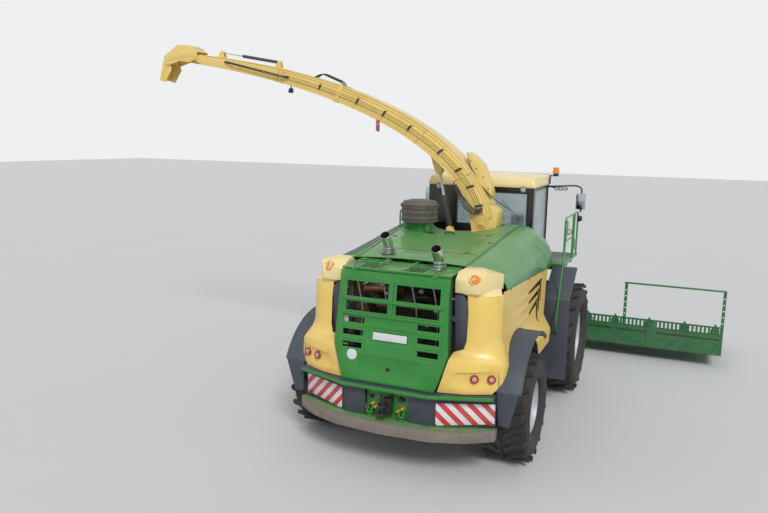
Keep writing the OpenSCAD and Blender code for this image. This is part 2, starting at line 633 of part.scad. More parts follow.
// Columns: height at the side and at the inner end, inner end, rear face, roundness (0 as low_plan, 1 as an ellipse)
corner_rows = [
  [1272, 1272, 725, -4690, 0], [1420, 1420, 768, -4682, 0], [1540, 1600, 822, -4676, 0], [1622, 1735, 862, -4660, 0],
  [1700, 1775, 874, -4600, 0.15], [1850, 1815, 890, -4520, 0.6], [1995, 1850, 1005, -4445, 1], [2060, 1960, 1038, -4425, 1],
  [2350, 2350, 1040, -4400, 1], [2590, 2590, 1020, -4390, 1]];
corner_y0 = door_rear_y - seam;
low_depth = corner_y0 - corner_rows[0][3];
function rear_width(z) = along([for (r = flank_rows) [r[0], r[1]]], z);
function corner_row(r) = let (x0 = rear_width(r[0]), c = r[2] + 60, d = corner_y0 - r[3], last = len(low_plan) - 1)
  concat([for (i = [0:last]) let (p = low_plan[i], a = 90 * i / last,
      low = [x0 - p.x, corner_y0 - p.y * d / low_depth], oval = [c + (x0 - c) * cos(a), corner_y0 - d * sin(a)],
      q = (1 - r[4]) * low + r[4] * oval)
    [q.x, q.y, r[0] + (r[1] - r[0]) * i / (last + 1)]],
    [[r[2], r[3] - 4, r[1]]]);
function corner_x(r, y) = along([for (p = corner_row(r)) [-p.y, p.x]], -y);
// Columns: height, row of the corner that the shelf reaches
corner_shelves = [[1642, 3], [2500, 9]];

// Recess for the tail lamps: outline from behind, and the ends of its floor in plan
recess = [[878, 1368], [949, 1563], [1501, 1590], [1508, 1374]];
floor_ends = [[900, -4655], [1500, -4405]];
floor_a = atan2(floor_ends[1].y - floor_ends[0].y, floor_ends[1].x - floor_ends[0].x);
tail_lamp_xs = [1196, 1410];
tail_z = 1483;

module recess_prism(d) {
  translate([0, -4200, 0]) rotate([90, 0, 0]) linear_extrude(700) offset(delta = d) polygon(recess);
}
// Room behind the machine from the recess's floor, moved forwards by d
module behind_floor(d) {
  translate([floor_ends[0].x, floor_ends[0].y, 1200]) rotate([0, 0, floor_a]) translate([-300, d - 400, 0]) cube([1300, 400, 600]);
}
module on_floor(x) {
  translate([x, floor_ends[0].y + (x - floor_ends[0].x) * tan(floor_a), tail_z]) rotate([90, 0, floor_a]) children();
}

module rear_corners() {
  plan = [for (p = corner_row(corner_rows[2])) [p.x, p.y]];
  color(yellow) both_sides() difference() {
    union() {
      difference() {
        sheet([for (r = corner_rows) corner_row(r)], skin);
        recess_prism(0);
      }
      // Pocket of the tail lamps
      difference() {
        intersection() {
          translate([0, 0, 1300]) linear_extrude(400) offset(delta = -skin / 2)
            polygon(concat(plan, [[plan[7].x, corner_y0]]));
          recess_prism(skin);
          behind_floor(skin);
        }
        intersection() {
          recess_prism(0);
          behind_floor(0);
        }
      }
    }
    arch_cut(arch_r + guard_t + pin_gap);
  }
  // Shelves on the frame's rear posts
  color(yellow) both_sides() for (s = corner_shelves) let (r = corner_rows[s[1]], x = top_beam_x + top_beam_w + pin_gap)
    translate([0, 0, s[0]]) linear_extrude(16)
      polygon([[x, -4350], [corner_x(r, -4350) - skin / 2, -4350], [corner_x(r, -4295) - skin / 2, -4295], [x, -4295]]);
}

// Dark panels beside the tailgate
module corner_panels() {
  color(dark) both_sides()
    translate([0, -4360 - pin_gap, 0]) rotate([90, 0, 0]) linear_extrude(26)
      polygon([[gate_top_x + 25, 2600], [950, 2600], [1034, 2480], [1034, 1900], [960, 1800], [gate_mid_x + 20, 1790],
        [gate_mid_x + 5, 2200], [735, 2200], [735, 2280], [gate_mid_x - 5, 2280]]);
}

lamp_d = 150;
tail_lamp_d = 120;
module corner_lamp_at() {
  translate([1080, -4360, 2790]) rotate([65, 0, 40]) children();
}

// Cream pods at the top rear corners
module lamp_pods() {
  color(cream) both_sides() difference() {
    hull() {
      translate([880, hood_rear - 60, 2650]) cube([520, 40, 200]);
      translate([850, -4300, 2640]) cube([420, 40, 250]);
      translate([850, -4430, 2620]) cube([330, 30, 180]);
      translate([900, -4200, 2900]) cube([220, 180, 20]);
    }
    corner_lamp_at() cylinder(h = 120, d = lamp_d);
  }
  // Feet on the top beam
  color(cream) both_sides() translate([top_beam_x + top_beam_w + pin_gap, -4270, top_beam_z - 40]) cube([80, 60, 36]);
}

module corner_lamps() {
  both_sides() {
    color("orange") corner_lamp_at() translate([0, 0, pin_gap]) cylinder(h = 50, d = lamp_d - 2 * pin_gap);
    // Tail lamps on the floor of their recess
    for (x = tail_lamp_xs)
      color("red") on_floor(x) translate([0, 0, pin_gap]) cylinder(h = 24, d = tail_lamp_d);
  }
}

// Bumper, boards and lip: plan line of the bumper's rear face, middle to right end
bumper_top = 1260;
bumper_line = [[0, -4740], [640, -4740], [700, -4690], [1475, -4362]];
function mirrored(p) = concat([for (i = [len(p) - 1:-1:1]) [-p[i].x, p[i].y]], p);
function shifted(p, d) = [for (q = p) [q.x, q.y + d]];
function band(p, d) = concat(mirrored(p), [for (i = [len(p) - 1:-1:0]) shifted(p, d)[i]],
  [for (i = [1:len(p) - 1]) [-p[i].x, p[i].y + d]]);

module bumper() {
  color(dark) {
    difference() {
      translate([0, 0, 780]) linear_extrude(bumper_top - 780) polygon(band(bumper_line, 26));
      // Opening around the coupling
      translate([-330, -4800, 770]) cube([660, 200, 420]);
    }
    // Stays to the frame
    both_sides() translate([rail_x - 30, -4720, 900]) cube([60, 4720 + rear_end_y - 90 - pin_gap, 120]);
    // Step in front of the tailgate
    translate([0, 0, bumper_top - 50]) linear_extrude(50) let (inner = mirrored(shifted(bumper_line, 13)))
      polygon(concat(mirrored([[0, -4850], [640, -4850], [1480, -4550]]),
        [for (i = [len(inner) - 1:-1:0]) inner[i]]));
  }
}

module bumper_lip() {
  color(dark) translate([0, 0, 620]) linear_extrude(160 - pin_gap)
    polygon(concat(mirrored([[0, lip_y], [700, lip_y + 50], [1150, -4740], [1500, -4500]]),
      [[1500, -4370], [700, -4680], [-700, -4680], [-1500, -4370]]));
}

module hazard_boards() {
  p = bumper_line[2];
  q = bumper_line[3];
  color("white") both_sides() translate([p.x, p.y, 785]) rotate([0, 0, atan2(q.y - p.y, q.x - p.x)])
    translate([0, -pin_gap, 0]) rotate([90, 0, 0]) linear_extrude(6)
      polygon([[10, 0], [830, 40], [830, 330], [10, 330]]);
}

// Jaw of the trailer coupling: two plates and a back with an upright pin hole
module trailer_coupling() {
  c = [0, -4880, hitch_z];
  color(black) difference() {
    union() {
      for (z = [-75, 45]) translate([c.x, c.y, c.z + z]) cylinder(h = 30, d = 130);
      for (z = [-75, 45]) translate([c.x - 65, c.y, c.z + z]) cube([130, 140, 30]);
      translate([c.x - 90, c.y + 110, c.z - 110]) cube([180, 60, 240]);
      translate([c.x - 70, c.y + 169, c.z - 70]) cube([140, rear_end_y - 90 - c.y - 169, 140]);
    }
    translate([c.x, c.y, c.z - 200]) cylinder(h = 400, d = hitch_bore_d);
  }
}

// Mudguards

module ring_guard(r, x0, x1, a0, a1, lip) {
  rotate([90, 0, 90]) rotate([0, 0, a0]) rotate_extrude(angle = a1 - a0, $fn = 96)
    polygon([[r, x0], [r + guard_t, x0], [r + guard_t, x1], [r - lip, x1], [r - lip, x1 - guard_t], [r, x1 - guard_t]]);
}

guard_end_a = 153;
guard_end = [-wheelbase, rear_r] + (arch_r + guard_t / 2) * [cos(guard_end_a), sin(guard_end_a)];

module rear_mudguards() {
  color(dark) both_sides() translate([0, -wheelbase, rear_r]) {
    ring_guard(arch_r, 1250, 1810, 55, guard_end_a, 40);
  }
  // Flap behind the wheel
  color(dark) both_sides() hull() {
    translate([1490, guard_end.x - guard_t, guard_end.y - 8]) cube([300, guard_t, 16]);
    translate([1525, guard_end.x + 12, 830]) cube([140, guard_t, 10]);
  }
}

// Side view of the plate behind a front wheel
front_guard_line = [[-1090, 480], [-1105, 1930], [-420, 2410 - pin_gap]];

module front_mudguards() {
  t = guard_t;
  color(dark) both_sides() {
    translate([1430, 0, 0]) rotate([90, 0, 90]) linear_extrude(450)
      polygon([front_guard_line[0], front_guard_line[1], front_guard_line[2],
        front_guard_line[2] + [t * 0.5, -t], front_guard_line[1] + [t, -t * 0.6], front_guard_line[0] + [t, 0]]);
  }
}

// Exhaust stacks: [x, y] of each
stacks = [[500, -4130], [-460, -3700]];

module exhausts() {
  color(silver) for (s = stacks) let (z1 = s.y < hood_rear ? 3010 : 3080) {
    difference() {
      union() {
        translate([s.x, s.y, 2600]) cylinder(h = z1 - 2600, d = stack_d);
        translate([s.x, s.y, z1]) rotate([40, 0, 0]) cylinder(h = 210, d = stack_d);
        translate([s.x, s.y, z1]) sphere(d = stack_d);
      }
      translate([s.x, s.y, z1]) rotate([40, 0, 0]) translate([0, 0, 30]) cylinder(h = 210, d = stack_d - 12);
    }
  }
}

module intake_drum() {
  color(dark) translate([drum_at.x, drum_at.y, 0]) {
    translate([0, 0, 3010]) cylinder(h = 235, d = drum_neck_d);
    translate([0, 0, 3240]) cylinder(h = 300, d = 620);
    for (k = [0:2]) translate([0, 0, 3300 + 90 * k]) cylinder(h = 20, d = 636);
    translate([0, 0, 3539]) cylinder(h = 60, d1 = 640, d2 = 560);
    translate([0, 0, 3598]) cylinder(h = 30, d = 200);
  }
}

// Cab

cab_rear = -420;
cab_side_y = 950;
cab_nose = 1600;
door_y0 = -270;
sill_h = 130;
screen_r = (cab_x * cab_x + pow(cab_nose - cab_side_y, 2)) / (2 * (cab_nose - cab_side_y));
screen_c = [0, cab_nose - screen_r];
screen_a = asin(cab_x / screen_r);
corner_post = 115;
screen_end = 7.5;

// Plan of the cab, smaller all round by d
module cab_plan(d = 0) {
  polygon(concat([[cab_x - d, cab_rear + d], [cab_x - d, cab_side_y]],
    arc(screen_c, screen_r - d, 90 - screen_a + 1, 90 + screen_a - 1, 12),
    [[-cab_x + d, cab_side_y], [-cab_x + d, cab_rear + d]]));
}

// Door hinges: axis in plan, radius and length of a knuckle, pin, heights
cab_hinge = [-cab_x - 10, door_y0 + 3];
cab_knuckle_r = 6;
cab_knuckle_h = 40;
cab_pin_d = 7;
cab_hinge_zs = [2620, 3040, 3540];
// Rear window: left end and height of its foot over the floor
rear_window = [-450, 700];
rear_window_w = 1350;

module cab_frame() {
  color(black) for (z = cab_hinge_zs) translate([cab_hinge.x, cab_hinge.y, z]) {
    cylinder(h = cab_knuckle_h, r = cab_knuckle_r);
    translate([-cab_knuckle_r, -34, 0]) cube([20, 31, cab_knuckle_h]);
    cylinder(h = 2 * cab_knuckle_h, d = cab_pin_d);
  }
  h = roof_z - cab_z;
  color(black) translate([0, 0, cab_z]) {
    linear_extrude(60) cab_plan();
    // Sill
    difference() {
      linear_extrude(sill_h) cab_plan();
      translate([0, 0, -1]) linear_extrude(sill_h + 2) cab_plan(40);
      // Doorway
      translate([-cab_x - 10, door_y0 + 4, 59]) cube([60, cab_side_y - door_y0 - 8, sill_h]);
    }
    // Posts
    both_sides() {
      translate([cab_x - post_w, cab_rear, 59]) cube([post_w, 90, h - 59]);
      translate([0, 0, 59]) linear_extrude(h - 59) intersection() {
        difference() {
          cab_plan();
          cab_plan(60);
        }
        translate([cab_x - 160, cab_side_y]) square([160, corner_post]);
      }
      translate([cab_x - post_w, door_y0 - 70, 59]) cube([post_w, 60, h - 59]);
    }
    // Rear wall with its window, and a post beside the window
    difference() {
      translate([-cab_x + 1, cab_rear, 59]) cube([2 * cab_x - 2, 40, h - 59]);
      translate([rear_window.x, cab_rear - 10, rear_window.y]) cube([rear_window_w, 60, h - 100 - rear_window.y]);
    }
    // Roof frame
    translate([0, 0, h - 60]) difference() {
      linear_extrude(60) cab_plan();
      translate([0, 0, -1]) linear_extrude(62) cab_plan(60);
    }
  }
}

module cab_roof() {
  color(cream) hull() {
    translate([0, 0, roof_z + 0.3]) linear_extrude(60) offset(r = 40, $fn = 32) cab_plan(20);
    translate([0, 0, roof_z + roof_h - 60]) linear_extrude(30) offset(r = 40, $fn = 32) cab_plan(60);
    translate([0, 0, roof_z + roof_h - 1]) linear_extrude(1) offset(r = 30, $fn = 32) cab_plan(220);
  }
}

module cab_windows() {
  h = roof_z - cab_z - sill_h - 60;
  color([0.6, 0.75, 0.8, 0.4]) {
    // Curved windscreen
    translate([0, 0, cab_z + sill_h + 0.3]) linear_extrude(h - 0.6)
      polygon(concat(arc(screen_c, screen_r - 10, 90 - screen_a + screen_end, 90 + screen_a - screen_end, 16),
        arc(screen_c, screen_r - 10 - glass_t, 90 + screen_a - screen_end, 90 - screen_a + screen_end, 16)));
    // Right side window
    translate([cab_x - 30, door_y0 + 0, cab_z + sill_h + 0.3]) cube([glass_t, cab_side_y - door_y0 - 1, h - 0.6]);
    // Rear window
    translate([rear_window.x + pin_gap, cab_rear + 15, cab_z + rear_window.y + pin_gap])
      cube([rear_window_w - 2 * pin_gap, glass_t, roof_z - cab_z - 100 - rear_window.y - 2 * pin_gap]);
  }
}

door_t = 40;
door_top = roof_z - 64;

// Left door: a frame hinged at its rear edge, its glass in a rebate
module cab_door() {
  y0 = door_y0 + 6;
  y1 = cab_side_y - 8;
  z0 = cab_z + 66;
  color(black) difference() {
    translate([-cab_x - 4, y0, z0]) cube([door_t, y1 - y0, door_top - z0]);
    translate([-cab_x - 10, y0 + 60, z0 + 60]) cube([door_t + 20, y1 - y0 - 120, door_top - z0 - 120]);
  }
  // Knuckles on the hinge pins
  color(black) for (z = cab_hinge_zs) translate([cab_hinge.x, cab_hinge.y, z + cab_knuckle_h + 1]) difference() {
    union() {
      cylinder(h = cab_knuckle_h - 2, r = cab_knuckle_r);
      translate([-1, -1, 0]) cube([14, 14, cab_knuckle_h - 2]);
    }
    translate([0, 0, -1]) cylinder(h = cab_knuckle_h, d = cab_pin_d + 2 * pin_gap);
  }
  // Handle
  color(black) pipe(eased([[-cab_x - 2, y1 - 50, 2760], [-cab_x - 50, y1 - 50, 2760], [-cab_x - 50, y1 - 50, 2960],
    [-cab_x - 2, y1 - 50, 2960]], 20), 20, side = [0, 1, 0]);
}

module cab_door_glass() {
  y0 = door_y0 + 66;
  y1 = cab_side_y - 68;
  z0 = cab_z + 126;
  color([0.6, 0.75, 0.8, 0.4]) translate([-cab_x + 10, y0 + 0.3, z0 + 0.3])
    cube([glass_t, y1 - y0 - 0.6, door_top - 60 - z0 - 0.6]);
}

module driver_seat() {
  color(dark) translate([0, 250, cab_z + 60.3]) {
    translate([0, 0, 0]) cylinder(h = 260, d1 = 360, d2 = 240);
    translate([-250, -260, 255]) cube([500, 520, 70]);
    hull() {
      translate([-240, -220, 320]) cube([480, 460, 40]);
      translate([-210, -190, 400]) cube([420, 400, 30]);
    }
    hull() {
      translate([-240, -300, 320]) cube([480, 60, 20]);
      translate([-200, -380, 980]) cube([400, 60, 20]);
      translate([-220, -250, 420]) cube([440, 30, 20]);
    }
    translate([-300, -200, 320]) cube([50, 60, 200]);
    translate([-310, -200, 519]) cube([70, 380, 40]);
    translate([250, -200, 320]) cube([50, 60, 200]);
    translate([240, -200, 519]) cube([110, 420, 50]);
  }
}

module console() {
  color(black) {
    translate([0, 900, cab_z + 60.3]) cylinder(h = 60, d = 200);
    rod([0, 900, cab_z + 110], [0, 740, cab_z + 700], 80);
    translate([0, 735, cab_z + 705]) rotate([15, 0, 0]) rotate_extrude() translate([200, 0]) circle(d = 30, $fn = 16);
    translate([0, 735, cab_z + 690]) rotate([15, 0, 0]) translate([-205, -15, 0]) cube([410, 30, 20]);
    rod([520, 560, cab_z + 60.3], [520, 560, cab_z + 620], 40);
    translate([520, 560, cab_z + 600]) rotate([0, 0, -20]) translate([-140, -30, 0]) cube([280, 30, 220]);
  }
}

// Mirrors on arms at the front corners of the roof
module mirrors() {
  color(black) both_sides() {
    translate([cab_x + pin_gap, 870, roof_z - 60]) cube([14, 70, 56]);
    pipe(eased([[cab_x + 12, 905, roof_z - 32], [1500, 1330, roof_z - 20], [1620, 1330, roof_z - 60], [1620, 1330, 3250]], 50), 34,
      side = [0, 1, 0.2]);
    hull() {
      translate([1530, 1240, 3310]) cube([180, 20, 320]);
      translate([1545, 1290, 3330]) cube([150, 30, 280]);
    }
  }
}

module beacon() {
  // Bracket at the roof's side
  color(black) {
    translate([cab_x + 20 + pin_gap, 860, roof_z + 12]) cube([18, 80, 180]);
    translate([cab_x + 20 + pin_gap, 860, roof_z + 174]) cube([170, 80, 18]);
    translate([cab_x + 140, 900, roof_z + 190]) cylinder(h = 40, d = 100);
  }
  color("orange") translate([cab_x + 140, 900, roof_z + 229]) cylinder(h = 120, d1 = 130, d2 = 110);
}

deck_side_z = cab_z + 30;

// Walkways beside the cab with rails, and the ladder at the left
module platforms() {
  color(green) {
    both_sides() {
      translate([cab_x + 6, -430, deck_side_z]) cube([620, 1500, 30]);
      for (y = mount_ys) {
        translate([rail_x + 50 + pin_gap, y + 25, cab_z - 80]) cube([cab_x + 510 - rail_x, 50, 80 - pin_gap]);
        translate([cab_x + 10, y + 25, cab_z - 1]) cube([540, 50, deck_side_z - cab_z + 2]);
      }
    }
    // Right rails
    pipe(eased([[1620, -420, deck_side_z + 20], [1620, -420, 3290], [1620, 500, 3290], [1620, 500, deck_side_z + 20]], 90), 34,
      side = [1, 0.1, 0]);
    pipe(eased([[1620, 620, deck_side_z + 20], [1620, 620, 3290], [1620, 1020, 3290], [1620, 1020, deck_side_z + 20]], 90), 34,
      side = [1, 0.1, 0]);
    pipe([[1620, -400, 2850], [1620, 490, 2850]], 26);
    // Long rail down to the mudguard
    pipe(eased([[1632, -400, 3250], [1690, -590, 3250], [1690, -1290, 1560], [1690, -1125, 1340]], 80), 30, side = [1, 0.1, 0]);
    translate([1612, 630, 2560]) cube([12, 380, 200]);
    // Left rails
    pipe(eased([[-1620, -420, deck_side_z + 20], [-1620, -420, 3290], [-1200, -420, 3290], [-1200, -420, deck_side_z + 20]], 90), 34,
      side = [0.1, 1, 0]);
    // Ladder
    for (x = [-1600, -1180])
      pipe(eased([[x, 1050, 2440], [x, 1130, 2440], [x, 1330, 560]], 40), 40, side = [1, 0, 0]);
    for (k = [0:5]) let (s = k / 6, z = 620 + 320 * k, y = 1330 - 200 * (z - 560) / 1880)
      translate([-1600, y - 60, z]) cube([420, 140, 26]);
    for (x = [-1600, -1180])
      pipe(eased([[x, 1150, 2000], [x, 1400, 2300], [x, 1180, 3300], [x, 1050, 3300], [x, 1050, deck_side_z + 20]], 80), 30,
        side = [1, 0, 0]);
  }
}

// Spout: seen from behind it reaches to the left; u is the reach towards -X, measured from the slewing axis

turret_pivot = [-320, 3200];
dome_r = 350;
arm_gap = 8;
outer_curve = [[-540, 3120], [-420, 4450], [1500, 5750], [5730, 6260]];
inner_curve = [[-140, 3110], [-50, 4200], [1600, 5400], [5730, 6070]];
arm_start = 0.05;
arm_steps = 22;
lift_base = [330, 3060];
lift_eye = [560, 4060];
lift_pin_d = 36;
// Play of the rod's eye on its pin, where the linkage is opened
lift_drift = 5.5;
head_drift = 2.2;

function spout_w(t) = spout_w0 + (spout_w1 - spout_w0) * max(0, t - arm_start) / (1 - arm_start);
// Place in the machine of a point u, z of the spout's plane, v towards the front
function spout_at(u, z, v = 0) = [-u, -slew_y + v, z];

module in_spout() {
  translate([0, -slew_y, 0]) mirror([1, 0, 0]) children();
}

// Extrudes a u, z outline across the spout
module across(w) {
  translate([0, w / 2, 0]) rotate([90, 0, 0]) linear_extrude(w) children();
}

module spout_turret() {
  color(yellow) in_spout() difference() {
    union() {
      translate([0, 0, 2880 + pin_gap]) cylinder(h = 50, d = ring_d);
      translate([0, 0, 2929]) cylinder(h = 50, d = ring_d - 120);
      difference() {
        across(spout_w0 - 2 * arm_gap - 2 * spout_t)
          polygon(concat([[-560, 2960], [-120, 2960], [-130, 3100]],
            arc(turret_pivot, dome_r, 42, 142, 12), [[-565, 3100]]));
      }
      // Pins that the arm tilts on
      translate([turret_pivot.x, 0, turret_pivot.y]) rotate([90, 0, 0])
        cylinder(h = spout_w0 + 60, d = 60, center = true);
      // Ears for the lift cylinder
      for (y = [-52, 32]) translate([0, y, 0]) translate([0, 20, 0]) rotate([90, 0, 0]) linear_extrude(20)
        polygon([[230, 2960], [400, 2960], [390, 3080], [340, 3110], [290, 3090]]);
      translate([lift_base.x, 0, lift_base.y]) rotate([90, 0, 0]) cylinder(h = 104, d = lift_pin_d, center = true);
    }
  }
}

// Rectangular section of the spout at a point of its curves
function arm_section(t, d = 0) = let (o = bezier(outer_curve, t), i = bezier(inner_curve, t), n = unit(o - i),
  p = o - d * n, q = i + d * n, w = spout_w(t) / 2 - d)
  [[p.x, -w, p.y], [q.x, -w, q.y], [q.x, w, q.y], [p.x, w, p.y]];

mouth_t = 0.86;
hump_w = 320;

module spout_arm() {
  color(yellow) in_spout() {
    difference() {
      union() {
        loft([for (k = [0:arm_steps]) arm_section(arm_start + (1 - arm_start) * k / arm_steps)]);
        // Side cheeks down to the pins
        for (s = [-1, 1]) translate([0, s * (spout_w0 / 2 - 4) + 4, 0]) rotate([90, 0, 0]) linear_extrude(8)
          let (foot = arm_section(arm_start + 0.02))
            polygon(concat(arc(turret_pivot, 90, 180, 360, 10), [[foot[1].x, foot[1].z], [foot[0].x, foot[0].z]]));
        // Hump over the elbow
        across(hump_w) polygon([[-455, 3700], [-400, 3900], [-260, 4230], [-80, 4400], [20, 4440], [-60, 4200], [-250, 3900]]);
        // Ears for the lift cylinder
        for (y = [-52, 32]) translate([0, y + 20, 0]) rotate([90, 0, 0]) linear_extrude(20)
          polygon([[520, 4300], [760, 4450], [640, 4080], [590, 4025], [530, 4025], [500, 4100]]);
        translate([lift_eye.x, 0, lift_eye.y]) rotate([90, 0, 0]) cylinder(h = 104, d = lift_pin_d, center = true);
        // Ears and pins that carry the first flap
        for (s = [-1, 1]) {
          translate([0, s * (spout_w1 / 2 - 4) + 4, 0]) rotate([90, 0, 0]) linear_extrude(8)
            polygon([[5600, 6090], [5600, 6230], [5720, 6250], [5900, 6265], [5950, 6215], [5900, 6165], [5720, 6080]]);
          translate([flap_pivot.x, s * (spout_w1 / 2 + 5), flap_pivot.y]) rotate([90, 0, 0])
            cylinder(h = 24, d = flap_pin_d, center = true);
        }
        // Flange in the middle of the arm
        loft([arm_section(0.69, -16), arm_section(0.70, -16)]);
      }
      // Round way over the turret's dome
      translate([turret_pivot.x, 0, turret_pivot.y]) rotate([90, 0, 0])
        cylinder(h = spout_w0 - 16, r = dome_r + arm_gap, center = true, $fn = 64);
      translate([turret_pivot.x, 0, turret_pivot.y]) rotate([90, 0, 0])
        cylinder(h = spout_w0 + 100, d = 60 + 2 * pin_gap, center = true);
      // Mouth
      loft([for (k = [0:4]) arm_section(mouth_t + (1.001 - mouth_t) * k / 4, spout_t)]);
    }
  }
}

tip = (bezier(outer_curve, 1) + bezier(inner_curve, 1)) / 2;
flap_pivot = [5900, 6215];
flap_pivot_2 = [6590, 6130];
flap_gap = 6;
flap_pin_d = 36;

// First flap: a channel beyond the end of the arm, open below and in front
module spout_flap_upper() {
  w = spout_w1 + 2 * flap_gap + 2 * spout_t;
  color(yellow) in_spout() difference() {
    across(w) polygon([[5800, 6180], [5800, 6330], [6020, 6460], [6290, 6470], [6650, 6255], [6640, 6100], [6560, 6060],
      [6240, 6150], [6020, 6110]]);
    across(w - 2 * spout_t) polygon([[5700, 6000], [5700, 6262], [6024, 6450], [6287, 6460], [6700, 6213], [6700, 6000]]);
    for (p = [flap_pivot, flap_pivot_2]) translate([p.x, 0, p.y]) rotate([90, 0, 0])
      cylinder(h = w + 20, d = flap_pin_d + 2 * pin_gap, center = true);
  }
}

// Second flap: a shorter channel that hangs inside the first
module spout_flap_lower() {
  w = spout_w1 - 2 * flap_gap;
  color(yellow) in_spout() {
    difference() {
      across(w) polygon([[6530, 6150], [6590, 6185], [6690, 6170], [spout_reach, 5780], [6650, 5730], [6470, 5990]]);
      across(w - 2 * spout_t) polygon([[6300, 6400], [6600, 6300], [6682, 6168], [spout_reach - 9, 5778],
        [spout_reach, 5600], [6200, 5600]]);
    }
    for (s = [-1, 1]) translate([flap_pivot_2.x, s * (spout_w1 / 2 + 8), flap_pivot_2.y]) rotate([90, 0, 0])
      cylinder(h = 28, d = flap_pin_d, center = true);
  }
}

lift_len = norm(lift_eye - lift_base);
lift_dir = unit(lift_eye - lift_base);
lift_a = atan2(lift_dir.y, lift_dir.x);

module spout_lift_barrel() {
  color(dark) in_spout() translate([lift_base.x, 0, lift_base.y]) rotate([0, 90 - lift_a, 0]) difference() {
    union() {
      rotate([90, 0, 0]) cylinder(h = 60, d = 80, center = true);
      translate([0, 0, 20]) cylinder(h = 60, d = 56);
      translate([0, 0, 66]) cylinder(h = 554, d = lift_bore + 24);
    }
    rotate([90, 0, 0]) cylinder(h = 80, d = lift_pin_d + 2 * pin_gap, center = true);
    translate([0, 0, 96]) cylinder(h = 600, d = lift_bore);
  }
}

module spout_lift_rod() {
  color(silver) in_spout() translate([lift_base.x, 0, lift_base.y]) rotate([0, 90 - lift_a, 0]) difference() {
    union() {
      translate([0, 0, 560]) cylinder(h = 50, d = lift_bore - 2 * pin_gap);
      translate([0, 0, 560]) cylinder(h = lift_len - 560 - 20, d = 50);
      translate([0, 0, lift_len]) rotate([90, 0, 0]) cylinder(h = 60, d = 80, center = true);
    }
    translate([0, 0, lift_len]) rotate([90, 0, 0]) cylinder(h = 80, d = lift_pin_d + 2 * lift_drift, center = true);
  }
}

// Header

head_y = 2480;
head_lift_base = [520, 700];
head_lift_eye = [1900, 440];
head_lift_x = 330;
head_rod_d = 56;
head_pin_d = 40;

// Housing of the feed rollers, hinged to the frame's front end
module intake_housing() {
  w = rail_gap - rail_w + 40;
  color(green) difference() {
    union() {
      rotate([90, 0, 90]) translate([0, 0, -(w - 60) / 2]) linear_extrude(w - 60)
        polygon([[intake_pivot.y - 20, 1240], [intake_pivot.y - 20, 820], [1750, 520], [head_y - 20, 480],
          [head_y - 20, 1060], [1500, 1290]]);
      translate([0, intake_pivot.y, intake_pivot.z]) rotate([0, 90, 0]) cylinder(h = w, d = intake_pin_d, center = true);
      both_sides() for (x = [head_lift_x - 52, head_lift_x + 32]) translate([x, 0, 0]) rotate([90, 0, 90]) linear_extrude(20)
        polygon([[1790, 540], [1850, 395], [1950, 395], [2010, 540]]);
    }
    // Throat
    translate([-(w - 140) / 2, intake_pivot.y - 40, 840]) rotate([-9, 0, 0]) translate([0, 0, 0]) cube([w - 140, 2000, 300]);
  }
  color(green) both_sides() translate([head_lift_x, head_lift_eye.x, head_lift_eye.y]) rotate([0, 90, 0])
    cylinder(h = 104, d = head_pin_d, center = true);
}

head_len = norm(head_lift_eye - head_lift_base);
head_dir = unit(head_lift_eye - head_lift_base);
head_a = atan2(head_dir.y, head_dir.x);

module on_head_lift() {
  both_sides() translate([head_lift_x, head_lift_base.x, head_lift_base.y]) rotate([-90 + head_a, 0, 0]) children();
}

module header_lift_barrels() {
  color(dark) on_head_lift() difference() {
    union() {
      rotate([0, 90, 0]) cylinder(h = 60, d = 90, center = true);
      translate([0, 0, 20]) cylinder(h = 70, d = head_rod_d);
      translate([0, 0, 75]) cylinder(h = 820, d = head_bore + 26);
    }
    rotate([0, 90, 0]) cylinder(h = 80, d = head_pin_d + 2 * pin_gap, center = true);
    translate([0, 0, 110]) cylinder(h = 900, d = head_bore);
  }
}

module header_lift_rods() {
  color(silver) on_head_lift() difference() {
    union() {
      translate([0, 0, 800]) cylinder(h = 60, d = head_bore - 2 * pin_gap);
      translate([0, 0, 800]) cylinder(h = head_len - 800 - 20, d = head_rod_d);
      translate([0, 0, head_len]) rotate([0, 90, 0]) cylinder(h = 60, d = 90, center = true);
    }
    translate([0, 0, head_len]) rotate([0, 90, 0]) cylinder(h = 80, d = head_pin_d + 2 * head_drift, center = true);
  }
}

wall_top = 720;
strip_top = 900;
tube_d = 180;

// Pointed divider whose tip is at x; sides slope from a ridge to the ground
module divider(x) {
  y0 = tip_y - divider_len;
  difference() {
    divider_body(x, y0);
    // Way for the gathering chain
    translate([x - 150, y0 - 10, chain_z - pin_gap]) cube([300, 200, 40]);
  }
}

module divider_body(x, y0) {
  loft([
    [[x - 110, y0, 150], [x - 90, y0, 560], [x, y0, 700], [x + 90, y0, 560], [x + 110, y0, 150], [x, y0, 110]],
    [[x - 90, y0 + 0.5 * divider_len, 110], [x - 70, y0 + 0.5 * divider_len, 330], [x, y0 + 0.5 * divider_len, 450],
      [x + 70, y0 + 0.5 * divider_len, 330], [x + 90, y0 + 0.5 * divider_len, 110], [x, y0 + 0.5 * divider_len, 80]],
    [[x - 8, tip_y, 60], [x - 7, tip_y, 75], [x, tip_y, 84], [x + 7, tip_y, 75], [x + 8, tip_y, 60], [x, tip_y, 56]]]);
}

